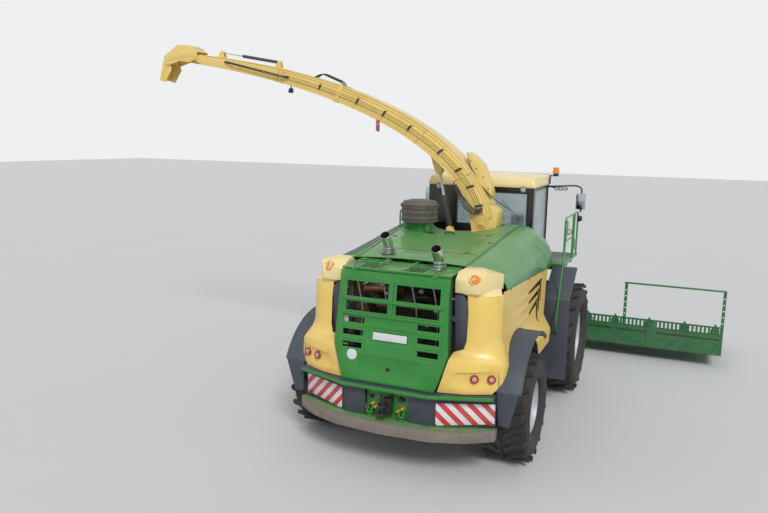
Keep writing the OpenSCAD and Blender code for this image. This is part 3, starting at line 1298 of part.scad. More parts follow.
// Frame of one header section between x0 and x1: back wall, slotted strip, floor and front beam
module section(x0, x1) {
  w = x1 - x0;
  difference() {
    union() {
      translate([x0, head_y, 300]) cube([w, 14, wall_top - 300]);
      translate([x0, head_y, wall_top - 1]) cube([w, 14, strip_top - wall_top]);
      translate([x0, head_y, 290]) cube([w, 1000, 16]);
      translate([x0, head_y + 14 + tube_d / 2 - 1, 400]) rotate([0, 90, 0]) cylinder(h = w, d = tube_d);
      translate([x0, head_y + 960, 200]) cube([w, 220, 110]);
    }
    for (k = [0:floor(w / 80) - 1]) translate([x0 + 40 + 80 * k - 18, head_y - 10, wall_top + 30])
      cube([36, 60, strip_top - wall_top - 60]);
  }
}

// Ears of a fold hinge, over the end block of a section; side is 1 for the middle's ears and -1 for the wing's
module fold_ear(y, t, side) {
  translate([section_w / 2, y, 0]) mirror([side > 0 ? 0 : 1, 0, 0]) translate([0, t, 0]) rotate([90, 0, 0]) linear_extrude(t)
    polygon([[-60, 820], [-60, 880], [-14, fold_z + 22], [12, fold_z + 22], [22, fold_z], [14, fold_z - 18], [-12, fold_z - 30],
      [-12, 820]]);
}
fold_pin_d = 20;
fold_ys = [head_y + 20, head_y + 180];

module header_middle() {
  s = section_w / 2 - fold_gap / 2;
  color(green) difference() {
    union() {
      section(-s, s);
      for (k = [-1:1]) divider(k * row_w);
      both_sides() {
        translate([s - 60, head_y - 30, 420]) cube([60, 300, 420]);
        for (y = fold_ys) {
          fold_ear(y, 20, 1);
          fold_ear(y + 60, 20, 1);
          translate([section_w / 2, y, fold_z]) rotate([-90, 0, 0]) cylinder(h = 80, d = fold_pin_d);
        }
      }
      // Frame that the intake housing carries
      translate([-400, head_y - 20, 470]) cube([800, 30, 600]);
    }
    // Way for the crop into the intake
    translate([-320, head_y - 100, 580]) cube([640, 300, 290]);
  }
}

module wing() {
  x0 = section_w / 2 + fold_gap / 2;
  x1 = 1.5 * section_w;
  color(green) {
    section(x0, x1);
    for (k = [2:6]) divider(k * row_w - (k == 6 ? 110 : 0) + (k == 2 ? 130 : 0));
    translate([x0, head_y - 30, 420]) cube([60, 300, 420]);
    for (y = fold_ys) difference() {
      fold_ear(y + 25, 30, -1);
      translate([section_w / 2, y, fold_z]) rotate([-90, 0, 0]) cylinder(h = 80, d = fold_pin_d + 2 * pin_gap);
    }
    translate([x0 + 1590, head_y - 12, 290]) cube([90, 13, strip_top - 290]);
    for (x = [2500, x1 - 60]) difference() {
      translate([x, head_y + 10, wall_top]) cube([60, 40, guard_z - wall_top]);
      for (z = [980:130:1580]) translate([x + 30, head_y, z]) rotate([-90, 0, 0]) cylinder(h = 80, d = 36);
    }
    pipe([[2490, head_y + 30, guard_z], [x1 - 2, head_y + 30, guard_z]], 40, side = [0, 0, 1]);
  }
}
module header_wing_right() { wing(); }
module header_wing_left() { mirror([1, 0, 0]) wing(); }

chain_y = head_y + 1180;
chain_z = 310 + pin_gap;
tooth_pitch = 150;

// Gathering chain of one section: a flat loop with teeth on its front run
module chain(x0, x1) {
  teeth = floor((x1 - x0 - 300) / tooth_pitch);
  color(steel) translate([0, 0, chain_z]) linear_extrude(22) difference() {
    union() {
      translate([x0 + 40, chain_y - 150]) square([x1 - x0 - 80, 150]);
      for (k = [0:teeth - 1]) let (x = x0 + 150 + (x1 - x0 - 300) * (k + 0.5) / teeth)
        polygon([[x - 34, chain_y - 10], [x + 34, chain_y - 10], [x + 20, chain_y + 130], [x + 6, chain_y + 130]]);
    }
    translate([x0 + 80, chain_y - 115]) square([x1 - x0 - 160, 75]);
  }
}
module chain_middle() { s = section_w / 2 - fold_gap / 2; chain(-s, s); }
module chain_right() { chain(section_w / 2 + fold_gap / 2, 1.5 * section_w); }
module chain_left() { mirror([1, 0, 0]) chain_right(); }

module placed() {
  translate([shift_x, shift_y, 0]) children();
}

placed() chassis();
placed() engine_block();
placed() front_axle();
placed() rear_axle();
placed() knuckle_left();
placed() knuckle_right();
placed() front_tyre_left();
placed() front_tyre_right();
placed() rear_tyre_left();
placed() rear_tyre_right();
placed() front_rim_left();
placed() front_rim_right();
placed() rear_rim_left();
placed() rear_rim_right();
placed() hood();
placed() rear_deck();
placed() tailgate();
placed() side_door_left();
placed() side_door_right();
placed() rear_corners();
placed() corner_panels();
placed() lamp_pods();
placed() corner_lamps();
placed() bumper();
placed() bumper_lip();
placed() hazard_boards();
placed() trailer_coupling();
placed() rear_mudguards();
placed() front_mudguards();
placed() exhausts();
placed() intake_drum();
placed() cab_frame();
placed() cab_roof();
placed() cab_windows();
placed() cab_door();
placed() cab_door_glass();
placed() driver_seat();
placed() console();
placed() mirrors();
placed() beacon();
placed() platforms();
placed() spout_turret();
placed() spout_arm();
placed() spout_flap_upper();
placed() spout_flap_lower();
placed() spout_lift_barrel();
placed() spout_lift_rod();
placed() intake_housing();
placed() header_lift_barrels();
placed() header_lift_rods();
placed() header_middle();
placed() header_wing_left();
placed() header_wing_right();
placed() chain_middle();
placed() chain_left();
placed() chain_right();
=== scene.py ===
import bpy
import bmesh
import json
import math
from mathutils import Matrix, Vector


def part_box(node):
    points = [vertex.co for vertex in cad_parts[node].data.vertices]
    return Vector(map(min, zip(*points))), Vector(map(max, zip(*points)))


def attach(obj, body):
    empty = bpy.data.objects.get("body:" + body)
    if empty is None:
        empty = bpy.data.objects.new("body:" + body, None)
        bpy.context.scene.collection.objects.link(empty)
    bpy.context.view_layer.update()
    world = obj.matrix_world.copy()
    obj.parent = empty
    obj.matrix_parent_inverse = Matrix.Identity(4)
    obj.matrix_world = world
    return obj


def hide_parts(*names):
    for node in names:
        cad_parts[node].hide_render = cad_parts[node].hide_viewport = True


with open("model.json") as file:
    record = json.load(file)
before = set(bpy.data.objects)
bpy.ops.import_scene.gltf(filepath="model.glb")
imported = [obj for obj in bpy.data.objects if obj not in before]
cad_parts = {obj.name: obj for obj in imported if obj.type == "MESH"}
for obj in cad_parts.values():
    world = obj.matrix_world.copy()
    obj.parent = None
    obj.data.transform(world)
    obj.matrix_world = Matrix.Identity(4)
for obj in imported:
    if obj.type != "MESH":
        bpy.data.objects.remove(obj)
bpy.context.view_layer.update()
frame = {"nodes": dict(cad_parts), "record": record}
scene = bpy.context.scene
shift = Vector((1.145, -0.005, 0.0))  # from the machine's own frame (y 0 at the front axle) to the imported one
print("stage: frame loaded,", len(frame["nodes"]), "nodes")


def at(x, y, z):
    return Vector((x, y, z)) + shift


def mm(x, y, z):
    return Vector((x, y, z)) / 1000 + shift


# Camera

cameraSettings = {
    "place": (3.6975, -13.404, 4.680),
    "yaw": 23.532,  # degrees to the left of straight ahead
    "pitch": 9.592,
    "roll": 1.068,
    "focalPixels": 706.92,
    "imageWidth": 768,
}


def addCamera(s):
    yaw, pitch, roll = (math.radians(s[k]) for k in ("yaw", "pitch", "roll"))
    ahead = Vector((-math.sin(yaw) * math.cos(pitch), math.cos(yaw) * math.cos(pitch), -math.sin(pitch)))
    right = Vector((math.cos(yaw), math.sin(yaw), 0))
    up = right.cross(ahead)
    x = math.cos(roll) * right + math.sin(roll) * up
    y = -math.sin(roll) * right + math.cos(roll) * up
    data = bpy.data.cameras.new("camera")
    data.sensor_width = 36
    data.lens = 36 * s["focalPixels"] / s["imageWidth"]
    data.clip_end = 200
    camera = bpy.data.objects.new("camera", data)
    scene.collection.objects.link(camera)
    camera.matrix_world = Matrix((
        (x.x, y.x, -ahead.x, 0), (x.y, y.y, -ahead.y, 0), (x.z, y.z, -ahead.z, 0), (0, 0, 0, 1)))
    camera.location = at(*s["place"])
    scene.camera = camera


addCamera(cameraSettings)

# Materials


def newMaterial(name):
    material = bpy.data.materials.new(name)
    material.use_nodes = True
    nodes = material.node_tree.nodes
    nodes.clear()
    output = nodes.new("ShaderNodeOutputMaterial")
    shader = nodes.new("ShaderNodeBsdfPrincipled")
    material.node_tree.links.new(shader.outputs["BSDF"], output.inputs["Surface"])
    return material, shader


def addNode(material, kind, **values):
    node = material.node_tree.nodes.new(kind)
    for key, value in values.items():
        if hasattr(node, key):
            setattr(node, key, value)
        else:
            node.inputs[key.replace("_", " ")].default_value = value
    return node


def join(material, source, target):
    material.node_tree.links.new(source, target)


def objectPlace(material):
    return addNode(material, "ShaderNodeTexCoord").outputs["Object"]


def noiseOf(material, scale, detail=4.0, roughness=0.55, place=None):
    noise = addNode(material, "ShaderNodeTexNoise")
    noise.inputs["Scale"].default_value = scale
    noise.inputs["Detail"].default_value = detail
    noise.inputs["Roughness"].default_value = roughness
    join(material, place or objectPlace(material), noise.inputs["Vector"])
    return noise.outputs["Fac"]


def rampOf(material, value, low, high, lowValue=0.0, highValue=1.0):
    node = addNode(material, "ShaderNodeMapRange")
    node.inputs["From Min"].default_value = low
    node.inputs["From Max"].default_value = high
    node.inputs["To Min"].default_value = lowValue
    node.inputs["To Max"].default_value = highValue
    join(material, value, node.inputs["Value"])
    return node.outputs["Result"]


def mathOf(material, operation, a, b):
    node = addNode(material, "ShaderNodeMath", operation=operation)
    for socket, value in zip(node.inputs, (a, b)):
        if isinstance(value, (int, float)):
            socket.default_value = value
        else:
            join(material, value, socket)
    return node.outputs[0]


def mixColour(material, factor, a, b):
    node = addNode(material, "ShaderNodeMix", data_type="RGBA")
    join(material, factor, node.inputs[0])
    for socket, value in ((node.inputs[6], a), (node.inputs[7], b)):
        if isinstance(value, tuple):
            socket.default_value = (*value, 1)
        else:
            join(material, value, socket)
    return node.outputs[2]


def addBump(material, shader, height, strength, distance):
    bump = addNode(material, "ShaderNodeBump")
    bump.inputs["Strength"].default_value = strength
    bump.inputs["Distance"].default_value = distance
    join(material, height, bump.inputs["Height"])
    join(material, bump.outputs["Normal"], shader.inputs["Normal"])


def surface(name, look):
    material, shader = newMaterial(name)
    place = objectPlace(material)
    broad = noiseOf(material, look.get("patchScale", 1.3), 5, 0.6, place)
    tone = mixColour(material, rampOf(material, broad, 0.35, 0.68), look["colour"],
                     look.get("shade", look["colour"]))
    # dust gathers low down and in patches; faces that look up take the dust colour both as dust and as a
    # painted sheen of the light falling on them
    height = addNode(material, "ShaderNodeSeparateXYZ")
    join(material, place, height.inputs[0])
    low = rampOf(material, height.outputs["Z"], look.get("dustTop", 2.2), look.get("dustFoot", 0.4))
    speckle = rampOf(material, noiseOf(material, look.get("dustScale", 7.0), 8, 0.65, place), 0.38, 0.72)
    dusty = mathOf(material, "MULTIPLY", mathOf(material, "MULTIPLY", low, speckle), look.get("dust", 0.5))
    patches = rampOf(material, noiseOf(material, 2.1, 3, 0.5, place), 0.45, 0.8)
    haze = mathOf(material, "MULTIPLY", patches, look.get("haze", 0.06))
    upward = addNode(material, "ShaderNodeSeparateXYZ")
    join(material, addNode(material, "ShaderNodeNewGeometry").outputs["Normal"], upward.inputs[0])
    settledDustAndSheen = mathOf(material, "MULTIPLY", rampOf(material, upward.outputs["Z"], 0.35, 1.0),
                     look.get("topDustAndSheen", 0.10))
    blotch = rampOf(material, noiseOf(material, 3.4, 6, 0.6, place), 0.3, 0.75, 0.45, 1.0)
    above = mathOf(material, "MULTIPLY", settledDustAndSheen, blotch)
    amount = mathOf(material, "MAXIMUM", mathOf(material, "MAXIMUM", dusty, haze), above)
    colour = mixColour(material, amount, tone, look.get("dustAndSheenColour", (0.30, 0.25, 0.19)))
    join(material, colour, shader.inputs["Base Color"])
    base = rampOf(material, broad, 0.3, 0.7, look["roughness"] - 0.04, look["roughness"] + 0.06)
    join(material, mathOf(material, "ADD", base, mathOf(material, "MULTIPLY", amount, 0.35)),
         shader.inputs["Roughness"])
    shader.inputs["Metallic"].default_value = look.get("metallic", 0.0)
    if look.get("coat"):
        shader.inputs["Coat Weight"].default_value = look["coat"]
        shader.inputs["Coat Roughness"].default_value = look.get("coatRoughness", 0.12)
    grain = noiseOf(material, look.get("grainScale", 900.0), 2, 0.5, place)
    addBump(material, shader, grain, look.get("grain", 0.05), look.get("grainDepth", 0.001))
    material.diffuse_color = (*look["colour"], 1)
    return material


# on faces that look up the dust colour stands for dust and for a painted sheen of the light from the sky; for
# the green paint it is a lighter green
looks = {
    "paintGreen": {"colour": (0.015, 0.215, 0.024), "shade": (0.011, 0.178, 0.019), "roughness": 0.34,
                   "coat": 0.3, "dust": 0.16, "dustTop": 2.0, "haze": 0.05, "grain": 0.03, "topDustAndSheen": 0.42,
                   "dustAndSheenColour": (0.30, 0.40, 0.19)},
    "paintYellow": {"colour": (0.800, 0.560, 0.135), "shade": (0.750, 0.510, 0.115), "roughness": 0.38,
                    "coat": 0.25, "dust": 0.30, "dustTop": 2.0, "haze": 0.05, "grain": 0.03,
                    "dustAndSheenColour": (0.42, 0.33, 0.19), "topDustAndSheen": 0.30},
    "spoutYellow": {"colour": (0.790, 0.580, 0.160), "shade": (0.710, 0.510, 0.130), "roughness": 0.42,
                    "coat": 0.2, "dust": 0.10, "haze": 0.10, "grain": 0.05, "dustAndSheenColour": (0.60, 0.52, 0.36),
                    "topDustAndSheen": 0.55},
    "moulded": {"colour": (0.830, 0.690, 0.330), "shade": (0.790, 0.640, 0.290), "roughness": 0.38,
                "coat": 0.2, "dust": 0.2, "haze": 0.06, "grain": 0.04, "dustAndSheenColour": (0.60, 0.50, 0.34)},
    "darkPanel": {"colour": (0.040, 0.052, 0.070), "shade": (0.050, 0.060, 0.076), "roughness": 0.52,
                  "dust": 0.32, "dustTop": 1.8, "haze": 0.10, "grain": 0.25, "grainScale": 420.0,
                  "dustAndSheenColour": (0.17, 0.16, 0.15)},
    "blackPlastic": {"colour": (0.010, 0.010, 0.011), "shade": (0.016, 0.016, 0.017), "roughness": 0.45,
                     "dust": 0.3, "haze": 0.08, "grain": 0.15, "grainScale": 500.0,
                     "dustAndSheenColour": (0.12, 0.11, 0.09)},
    # near black: the stacks' insides blackened by exhaust, dark hood seams, and painted shade in the deck's
    # slots, the doors' vents and the wings' grooves
    "sootAndPaintedShade": {"colour": (0.003, 0.003, 0.003), "shade": (0.006, 0.006, 0.006), "roughness": 0.85,
             "dust": 0.0, "haze": 0.02, "grain": 0.2, "topDustAndSheen": 0.0},
    "cabBlack": {"colour": (0.008, 0.008, 0.009), "shade": (0.012, 0.012, 0.013), "roughness": 0.30,
                 "coat": 0.3, "dust": 0.3, "haze": 0.05, "grain": 0.03},
    "framePaint": {"colour": (0.028, 0.030, 0.032), "shade": (0.040, 0.040, 0.040), "roughness": 0.55,
                   "dust": 0.7, "dustTop": 2.2, "haze": 0.15, "grain": 0.2, "grainScale": 220.0},
    "engineIron": {"colour": (0.040, 0.040, 0.042), "shade": (0.060, 0.055, 0.050), "roughness": 0.55,
                   "metallic": 0.3, "dust": 0.5, "haze": 0.2, "grain": 0.3, "grainScale": 90.0},
    "rubber": {"colour": (0.016, 0.016, 0.017), "shade": (0.026, 0.025, 0.024), "roughness": 0.72,
               "patchScale": 3.0, "dust": 0.80, "dustTop": 1.9, "dustFoot": -0.6, "haze": 0.18, "grain": 0.35,
               "grainScale": 160.0, "dustAndSheenColour": (0.115, 0.095, 0.072), "topDustAndSheen": 0.3},
    "hose": {"colour": (0.014, 0.014, 0.015), "shade": (0.020, 0.020, 0.020), "roughness": 0.55,
             "dust": 0.2, "haze": 0.1, "grain": 0.4, "grainScale": 260.0},
    "rimSilver": {"colour": (0.470, 0.500, 0.540), "shade": (0.390, 0.420, 0.460), "roughness": 0.36,
                  "metallic": 0.45, "dust": 0.45, "dustTop": 1.8, "haze": 0.10, "grain": 0.05},
    "steel": {"colour": (0.330, 0.330, 0.335), "shade": (0.240, 0.235, 0.230), "roughness": 0.38,
              "metallic": 0.9, "dust": 0.4, "haze": 0.12, "grain": 0.1, "grainScale": 300.0},
    "copper": {"colour": (0.330, 0.170, 0.095), "shade": (0.240, 0.130, 0.080), "roughness": 0.42,
               "metallic": 0.8, "dust": 0.2, "haze": 0.25, "grain": 0.1},
    "chrome": {"colour": (0.640, 0.640, 0.650), "shade": (0.500, 0.470, 0.430), "roughness": 0.16,
               "metallic": 1.0, "dust": 0.1, "haze": 0.08, "grain": 0.02, "dustAndSheenColour": (0.34, 0.30, 0.24)},
    "headerGreen": {"colour": (0.012, 0.150, 0.034), "shade": (0.011, 0.120, 0.036), "roughness": 0.36,
                    "coat": 0.35, "dust": 0.35, "dustTop": 1.9, "haze": 0.12, "grain": 0.04,
                    "dustAndSheenColour": (0.16, 0.20, 0.11)},
    "drumBrown": {"colour": (0.095, 0.082, 0.070), "shade": (0.070, 0.060, 0.052), "roughness": 0.62,
                  "dust": 0.0, "haze": 0.35, "grain": 0.2, "grainScale": 200.0, "topDustAndSheen": 0.35},
    "lipEdge": {"colour": (0.200, 0.175, 0.145), "shade": (0.150, 0.130, 0.108), "roughness": 0.80,
                "patchScale": 5.0, "dust": 0.5, "haze": 0.25, "grain": 0.3, "grainScale": 120.0,
                "dustAndSheenColour": (0.27, 0.23, 0.18)},
    "blankPlate": {"colour": (0.640, 0.650, 0.640), "shade": (0.580, 0.590, 0.590), "roughness": 0.40,
                   "coat": 0.3, "dust": 0.25, "dustTop": 2.4, "haze": 0.05, "grain": 0.05},
    "cloth": {"colour": (0.030, 0.030, 0.033), "shade": (0.020, 0.020, 0.022), "roughness": 0.85,
              "dust": 0.0, "haze": 0.05, "grain": 0.6, "grainScale": 700.0, "topDustAndSheen": 0.0},
}
materials = {name: surface(name, look) for name, look in looks.items()}


def lensMaterial(name, colour, glow=0.0):
    material, shader = newMaterial(name)
    place = objectPlace(material)
    wave = addNode(material, "ShaderNodeTexWave", bands_direction="DIAGONAL")
    wave.inputs["Scale"].default_value = 90
    join(material, place, wave.inputs["Vector"])
    join(material, mixColour(material, wave.outputs["Fac"], colour, tuple(0.75 * c for c in colour)),
         shader.inputs["Base Color"])
    shader.inputs["Roughness"].default_value = 0.16
    shader.inputs["Coat Weight"].default_value = 0.6
    shader.inputs["Emission Color"].default_value = (*colour, 1)
    shader.inputs["Emission Strength"].default_value = glow
    addBump(material, shader, wave.outputs["Fac"], 0.25, 0.002)
    return material


materials["amber"] = lensMaterial("amberLens", (0.78, 0.24, 0.015), 0.10)
materials["red"] = lensMaterial("redLens", (0.36, 0.02, 0.018), 0.02)
materials["paleLens"] = lensMaterial("paleLens", (0.58, 0.40, 0.38))
materials["clearLens"] = lensMaterial("clearLens", (0.60, 0.62, 0.64))


def glassMaterial():
    material, shader = newMaterial("tintedGlass")
    place = objectPlace(material)
    film = rampOf(material, noiseOf(material, 3.0, 4, 0.6, place), 0.4, 0.8, 0.05, 0.16)
    shader.inputs["Base Color"].default_value = (0.60, 0.72, 0.72, 1)
    shader.inputs["Transmission Weight"].default_value = 0.85
    shader.inputs["IOR"].default_value = 1.45
    join(material, film, shader.inputs["Roughness"])
    shader.inputs["Alpha"].default_value = 0.75
    return material


materials["glass"] = glassMaterial()


def mirrorMaterial():
    material, shader = newMaterial("mirrorGlass")
    smear = rampOf(material, noiseOf(material, 12.0, 5, 0.6), 0.4, 0.8, 0.03, 0.20)
    join(material, smear, shader.inputs["Roughness"])
    shader.inputs["Base Color"].default_value = (0.45, 0.50, 0.54, 1)
    shader.inputs["Metallic"].default_value = 1.0
    return material


materials["mirror"] = mirrorMaterial()


def stripeMaterial():
    material, shader = newMaterial("warningStripes")
    place = objectPlace(material)
    parts = addNode(material, "ShaderNodeSeparateXYZ")
    join(material, place, parts.inputs[0])
    # stripes lean to the other side on each board
    away = mathOf(material, "ABSOLUTE", mathOf(material, "SUBTRACT", parts.outputs["X"], shift.x), 0.0)
    slant = mathOf(material, "ADD", mathOf(material, "MULTIPLY", away, 1.09), parts.outputs["Z"])
    share = mathOf(material, "FRACT", mathOf(material, "MULTIPLY", slant, 1 / 0.20), 0.0)
    red = mathOf(material, "GREATER_THAN", share, 0.5)
    clean = mixColour(material, red, (0.72, 0.74, 0.76), (0.62, 0.030, 0.028))
    dirt = rampOf(material, noiseOf(material, 9.0, 6, 0.6, place), 0.45, 0.85, 0.0, 0.35)
    join(material, mixColour(material, dirt, clean, (0.32, 0.28, 0.24)), shader.inputs["Base Color"])
    cells = addNode(material, "ShaderNodeTexVoronoi")
    cells.inputs["Scale"].default_value = 260
    join(material, place, cells.inputs["Vector"])
    addBump(material, shader, cells.outputs["Distance"], 0.12, 0.001)
    shader.inputs["Roughness"].default_value = 0.32
    shader.inputs["Coat Weight"].default_value = 0.4
    return material


materials["stripes"] = stripeMaterial()
print("stage: materials made,", len(materials))

# CAD pieces with rounded edges and even shading: finish and edge radius in metres of each node

finishes = {
    "chassis": ("framePaint", 0.004), "engine_block": ("engineIron", 0.012), "front_axle": ("framePaint",
                                                                                            0.004),
    "rear_axle": ("framePaint", 0.004), "knuckle_left": ("framePaint", 0.003), "knuckle_right": ("framePaint",
                                                                                                 0.003),
    "front_tyre_left": ("rubber", 0), "front_tyre_right": ("rubber", 0), "rear_tyre_left": ("rubber", 0),
    "rear_tyre_right": ("rubber", 0), "front_rim_left": ("rimSilver", 0), "front_rim_right": ("rimSilver", 0),
    "rear_rim_left": ("rimSilver", 0), "rear_rim_right": ("rimSilver", 0),
    "hood": ("paintGreen", 0.004), "rear_deck": ("paintGreen", 0.003), "tailgate": ("paintGreen", 0.010),
    "side_door_left": ("paintYellow", 0.004), "side_door_right": ("paintYellow", 0.004),
    "rear_corners": ("paintYellow", 0.004), "corner_panels": ("darkPanel", 0.004), "lamp_pods": ("moulded",
                                                                                                 0.012),
    "corner_lamps": ("amber", 0.004), "bumper": ("darkPanel", 0.006), "bumper_lip": ("lipEdge", 0.012),
    "hazard_boards": ("stripes", 0.0015), "trailer_coupling": ("blackPlastic", 0.004),
    "rear_mudguards": ("darkPanel", 0.005), "front_mudguards": ("darkPanel", 0.005), "exhausts": ("chrome",
                                                                                                  0.002),
    "intake_drum": ("drumBrown", 0.004), "cab_frame": ("cabBlack", 0.006), "cab_roof": ("moulded", 0.012),
    "cab_windows": ("glass", 0), "cab_door": ("cabBlack", 0.006), "cab_door_glass": ("glass", 0),
    "driver_seat": ("cloth", 0.020), "console": ("blackPlastic", 0.004), "mirrors": ("blackPlastic", 0.006),
    "beacon": ("blackPlastic", 0.004), "platforms": ("paintGreen", 0.002), "spout_turret": ("spoutYellow",
                                                                                            0.005),
    "spout_arm": ("spoutYellow", 0.005), "spout_flap_upper": ("spoutYellow", 0.003),
    "spout_flap_lower": ("spoutYellow", 0.003), "spout_lift_barrel": ("framePaint", 0.003),
    "spout_lift_rod": ("chrome", 0.002), "intake_housing": ("headerGreen", 0.006),
    "header_lift_barrels": ("framePaint", 0.003), "header_lift_rods": ("chrome", 0.002),
    "header_middle": ("headerGreen", 0.002), "header_wing_left": ("headerGreen", 0.002),
    "header_wing_right": ("headerGreen", 0.002), "chain_middle": ("steel", 0.002), "chain_left": ("steel",
                                                                                                  0.002),
    "chain_right": ("steel", 0.002),
}

# The tailgate's plane: its hinge, the way down its face and the way out of it
gateHinge = Vector((0, -4560, 2820))
gateDown = Vector((0, -math.sin(math.radians(7)), -math.cos(math.radians(7))))
gateOut = Vector((0, -math.cos(math.radians(7)), math.sin(math.radians(7))))
# The stacks' bends and the way that their slanted ends look
stackPlaces = ((500, -4130, 3010), (-460, -3700, 3080))
stackWay = Vector((0, -math.sin(math.radians(40)), math.cos(math.radians(40))))


def onPlate(p, n):
    q = p - gateHinge
    return abs(p.x) < 262 and 838 < q.dot(gateDown) < 952 and -7.9 < q.dot(gateOut) < -2


def insideStack(p, n):
    for place in stackPlaces:
        q = p - Vector(place)
        along = q.dot(stackWay)
        off = q - along * stackWay
        if abs(q.x) < 100 and along > 25 and off.length < 72:
            return n.dot(off) <= 0 or off.length < 20
    return False


# Places on a node that have another finish: a test of a face's centre in mm and its normal
zones = {
    "corner_lamps": [("red", lambda p, n: p.z < 1700)],
    "tailgate": [("blankPlate", onPlate)],
    # the inner walls of the deck's slots: painted shade, near black where the slots' depth lies in shade
    "rear_deck": [("sootAndPaintedShade", lambda p, n: p.z < 2854 and abs(n.y) > 0.7 and -4470 < p.y < -4110
                   and (-601 < p.x < -299 or 89 < p.x < 391))],
    "bumper": [("paintGreen", lambda p, n: p.z > 1206 and n.y < -0.3)],
    "bumper_lip": [("paintGreen", lambda p, n: n.z > 0.9)],
    "exhausts": [("sootAndPaintedShade", insideStack)],
    "intake_drum": [("paintGreen", lambda p, n: p.z < 3242)],
    "mirrors": [("mirror", lambda p, n: n.y < -0.8 and abs(p.x) > 1520 and 3300 < p.z < 3640)],
    "beacon": [("amber", lambda p, n: p.z > 4031)],
}
bodyOf = {node: body for body, nodes in frame["record"]["behaviour"]["bodies"].items() for node in nodes}


def smoothShading(mesh, degrees):
    bm = bmesh.new()
    bm.from_mesh(mesh)
    limit = math.radians(degrees)
    for face in bm.faces:
        face.smooth = True
    for edge in bm.edges:
        edge.smooth = len(edge.link_faces) == 2 and edge.calc_face_angle(0) < limit
    bm.to_mesh(mesh)
    bm.free()


def plainMesh(obj, name):
    # the mesh with its modifiers applied
    depsgraph = bpy.context.evaluated_depsgraph_get()
    mesh = bpy.data.meshes.new_from_object(obj.evaluated_get(depsgraph))
    mesh.name = name
    return mesh


def addPiece(name, mesh, body, material=None):
    piece = bpy.data.objects.new(name, mesh)
    scene.collection.objects.link(piece)
    if material:
        mesh.materials.clear()
        mesh.materials.append(materials[material])
    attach(piece, body)
    return piece


def dress(node, finish, radius):
    source = frame["nodes"][node]
    mesh = source.data.copy()
    bm = bmesh.new()
    bm.from_mesh(mesh)
    bmesh.ops.remove_doubles(bm, verts=bm.verts, dist=0.00002)
    bmesh.ops.dissolve_limit(bm, angle_limit=math.radians(0.4), verts=bm.verts, edges=bm.edges)
    bm.to_mesh(mesh)
    bm.free()
    if radius:
        temp = bpy.data.objects.new("temp", mesh)
        scene.collection.objects.link(temp)
        bevel = temp.modifiers.new("bevel", "BEVEL")
        bevel.width = radius
        bevel.segments = 2
        bevel.limit_method = "ANGLE"
        bevel.angle_limit = math.radians(34)
        bevel.use_clamp_overlap = True
        mesh = plainMesh(temp, node + "Dressed")
        bpy.data.objects.remove(temp)
    smoothShading(mesh, 31)
    for key in list(mesh.attributes.keys()):
        if key.startswith("custom_normal"):
            mesh.attributes.remove(mesh.attributes[key])
    piece = addPiece(node + "Dressed", mesh, bodyOf[node], finish)
    for face in mesh.polygons:
        face.material_index = 0
    for index, (other, test) in enumerate(zones.get(node, []), 1):
        mesh.materials.append(materials[other])
        for face in mesh.polygons:
            if test((face.center - shift) * 1000, face.normal):
                face.material_index = index
    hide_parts(node)


for node, values in finishes.items():
    dress(node, *values)
print("stage: CAD pieces dressed,", len(finishes))

# Forms for the details; every place is given in mm in the machine's own frame

upright = (0, 0, 1)


def onSide(side, p):
    return Vector((side * p[0], p[1], p[2]))


def acrossOf(way):
    other = Vector((0, 0, 1)) if abs(way.z) < 0.9 else Vector((1, 0, 0))
    first = way.cross(other).normalized()
    return first, way.cross(first).normalized()


def easedRoute(points, reach, steps=4):
    points = [Vector(p) for p in points]
    route = [points[0]]
    for before, corner, after in zip(points, points[1:], points[2:]):
        a = corner + (before - corner).normalized() * min(reach, (before - corner).length / 2.1)
        b = corner + (after - corner).normalized() * min(reach, (after - corner).length / 2.1)
        for k in range(steps + 1):
            t = k / steps
            route.append((1 - t) ** 2 * a + 2 * t * (1 - t) * corner + t * t * b)
    return route + [points[-1]]


def tubeInto(bm, route, radius, sides=10):
    route = [Vector(p) for p in route]
    rings = []
    ways = [(route[min(i + 1, len(route) - 1)] - route[max(i - 1,
                                                           0)]).normalized() for i in range(len(route))]
    u = acrossOf(ways[0])[0]
    for point, way in zip(route, ways):
        u = (u - u.dot(way) * way).normalized()
        w = way.cross(u)
        rings.append([bm.verts.new(point + radius * (math.cos(a) * u + math.sin(a) * w))
                      for a in (2 * math.pi * k / sides for k in range(sides))])
    for lower, upper in zip(rings, rings[1:]):
        for k in range(sides):
            bm.faces.new((lower[k], lower[(k + 1) % sides], upper[(k + 1) % sides], upper[k]))
    bm.faces.new(list(reversed(rings[0])))
    bm.faces.new(rings[-1])


def turnedInto(bm, profile, origin, way, sides=24):
    origin = Vector(origin)
    way = Vector(way).normalized()
    u, w = acrossOf(way)
    rings = []
    for radius, along in profile:
        middle = origin + along * way
        if radius == 0:
            rings.append([bm.verts.new(middle)])
        else:
            rings.append([bm.verts.new(middle + radius * (math.cos(a) * u + math.sin(a) * w))
                          for a in (2 * math.pi * k / sides for k in range(sides))])
    for lower, upper in zip(rings, rings[1:]):
        for k in range(sides):
            n = (k + 1) % sides
            if len(lower) == 1 and len(upper) == 1:
                continue
            if len(lower) == 1:
                bm.faces.new((lower[0], upper[n], upper[k]))
            elif len(upper) == 1:
                bm.faces.new((lower[k], lower[n], upper[0]))
            else:
                bm.faces.new((lower[k], lower[n], upper[n], upper[k]))
    if rings[0] is not rings[-1] and len(rings[0]) > 1 and profile[0] == profile[-1]:
        bmesh.ops.remove_doubles(bm, verts=rings[0] + rings[-1], dist=0.001)


def studsInto(bm, profile, places, way, sides):
    for place in places:
        turnedInto(bm, profile, place, way, sides)


def outlineInto(bm, points, radius, sides=6):
    for a, b in zip(points, points[1:] + points[:1]):
        tubeInto(bm, [a, b], radius, sides)


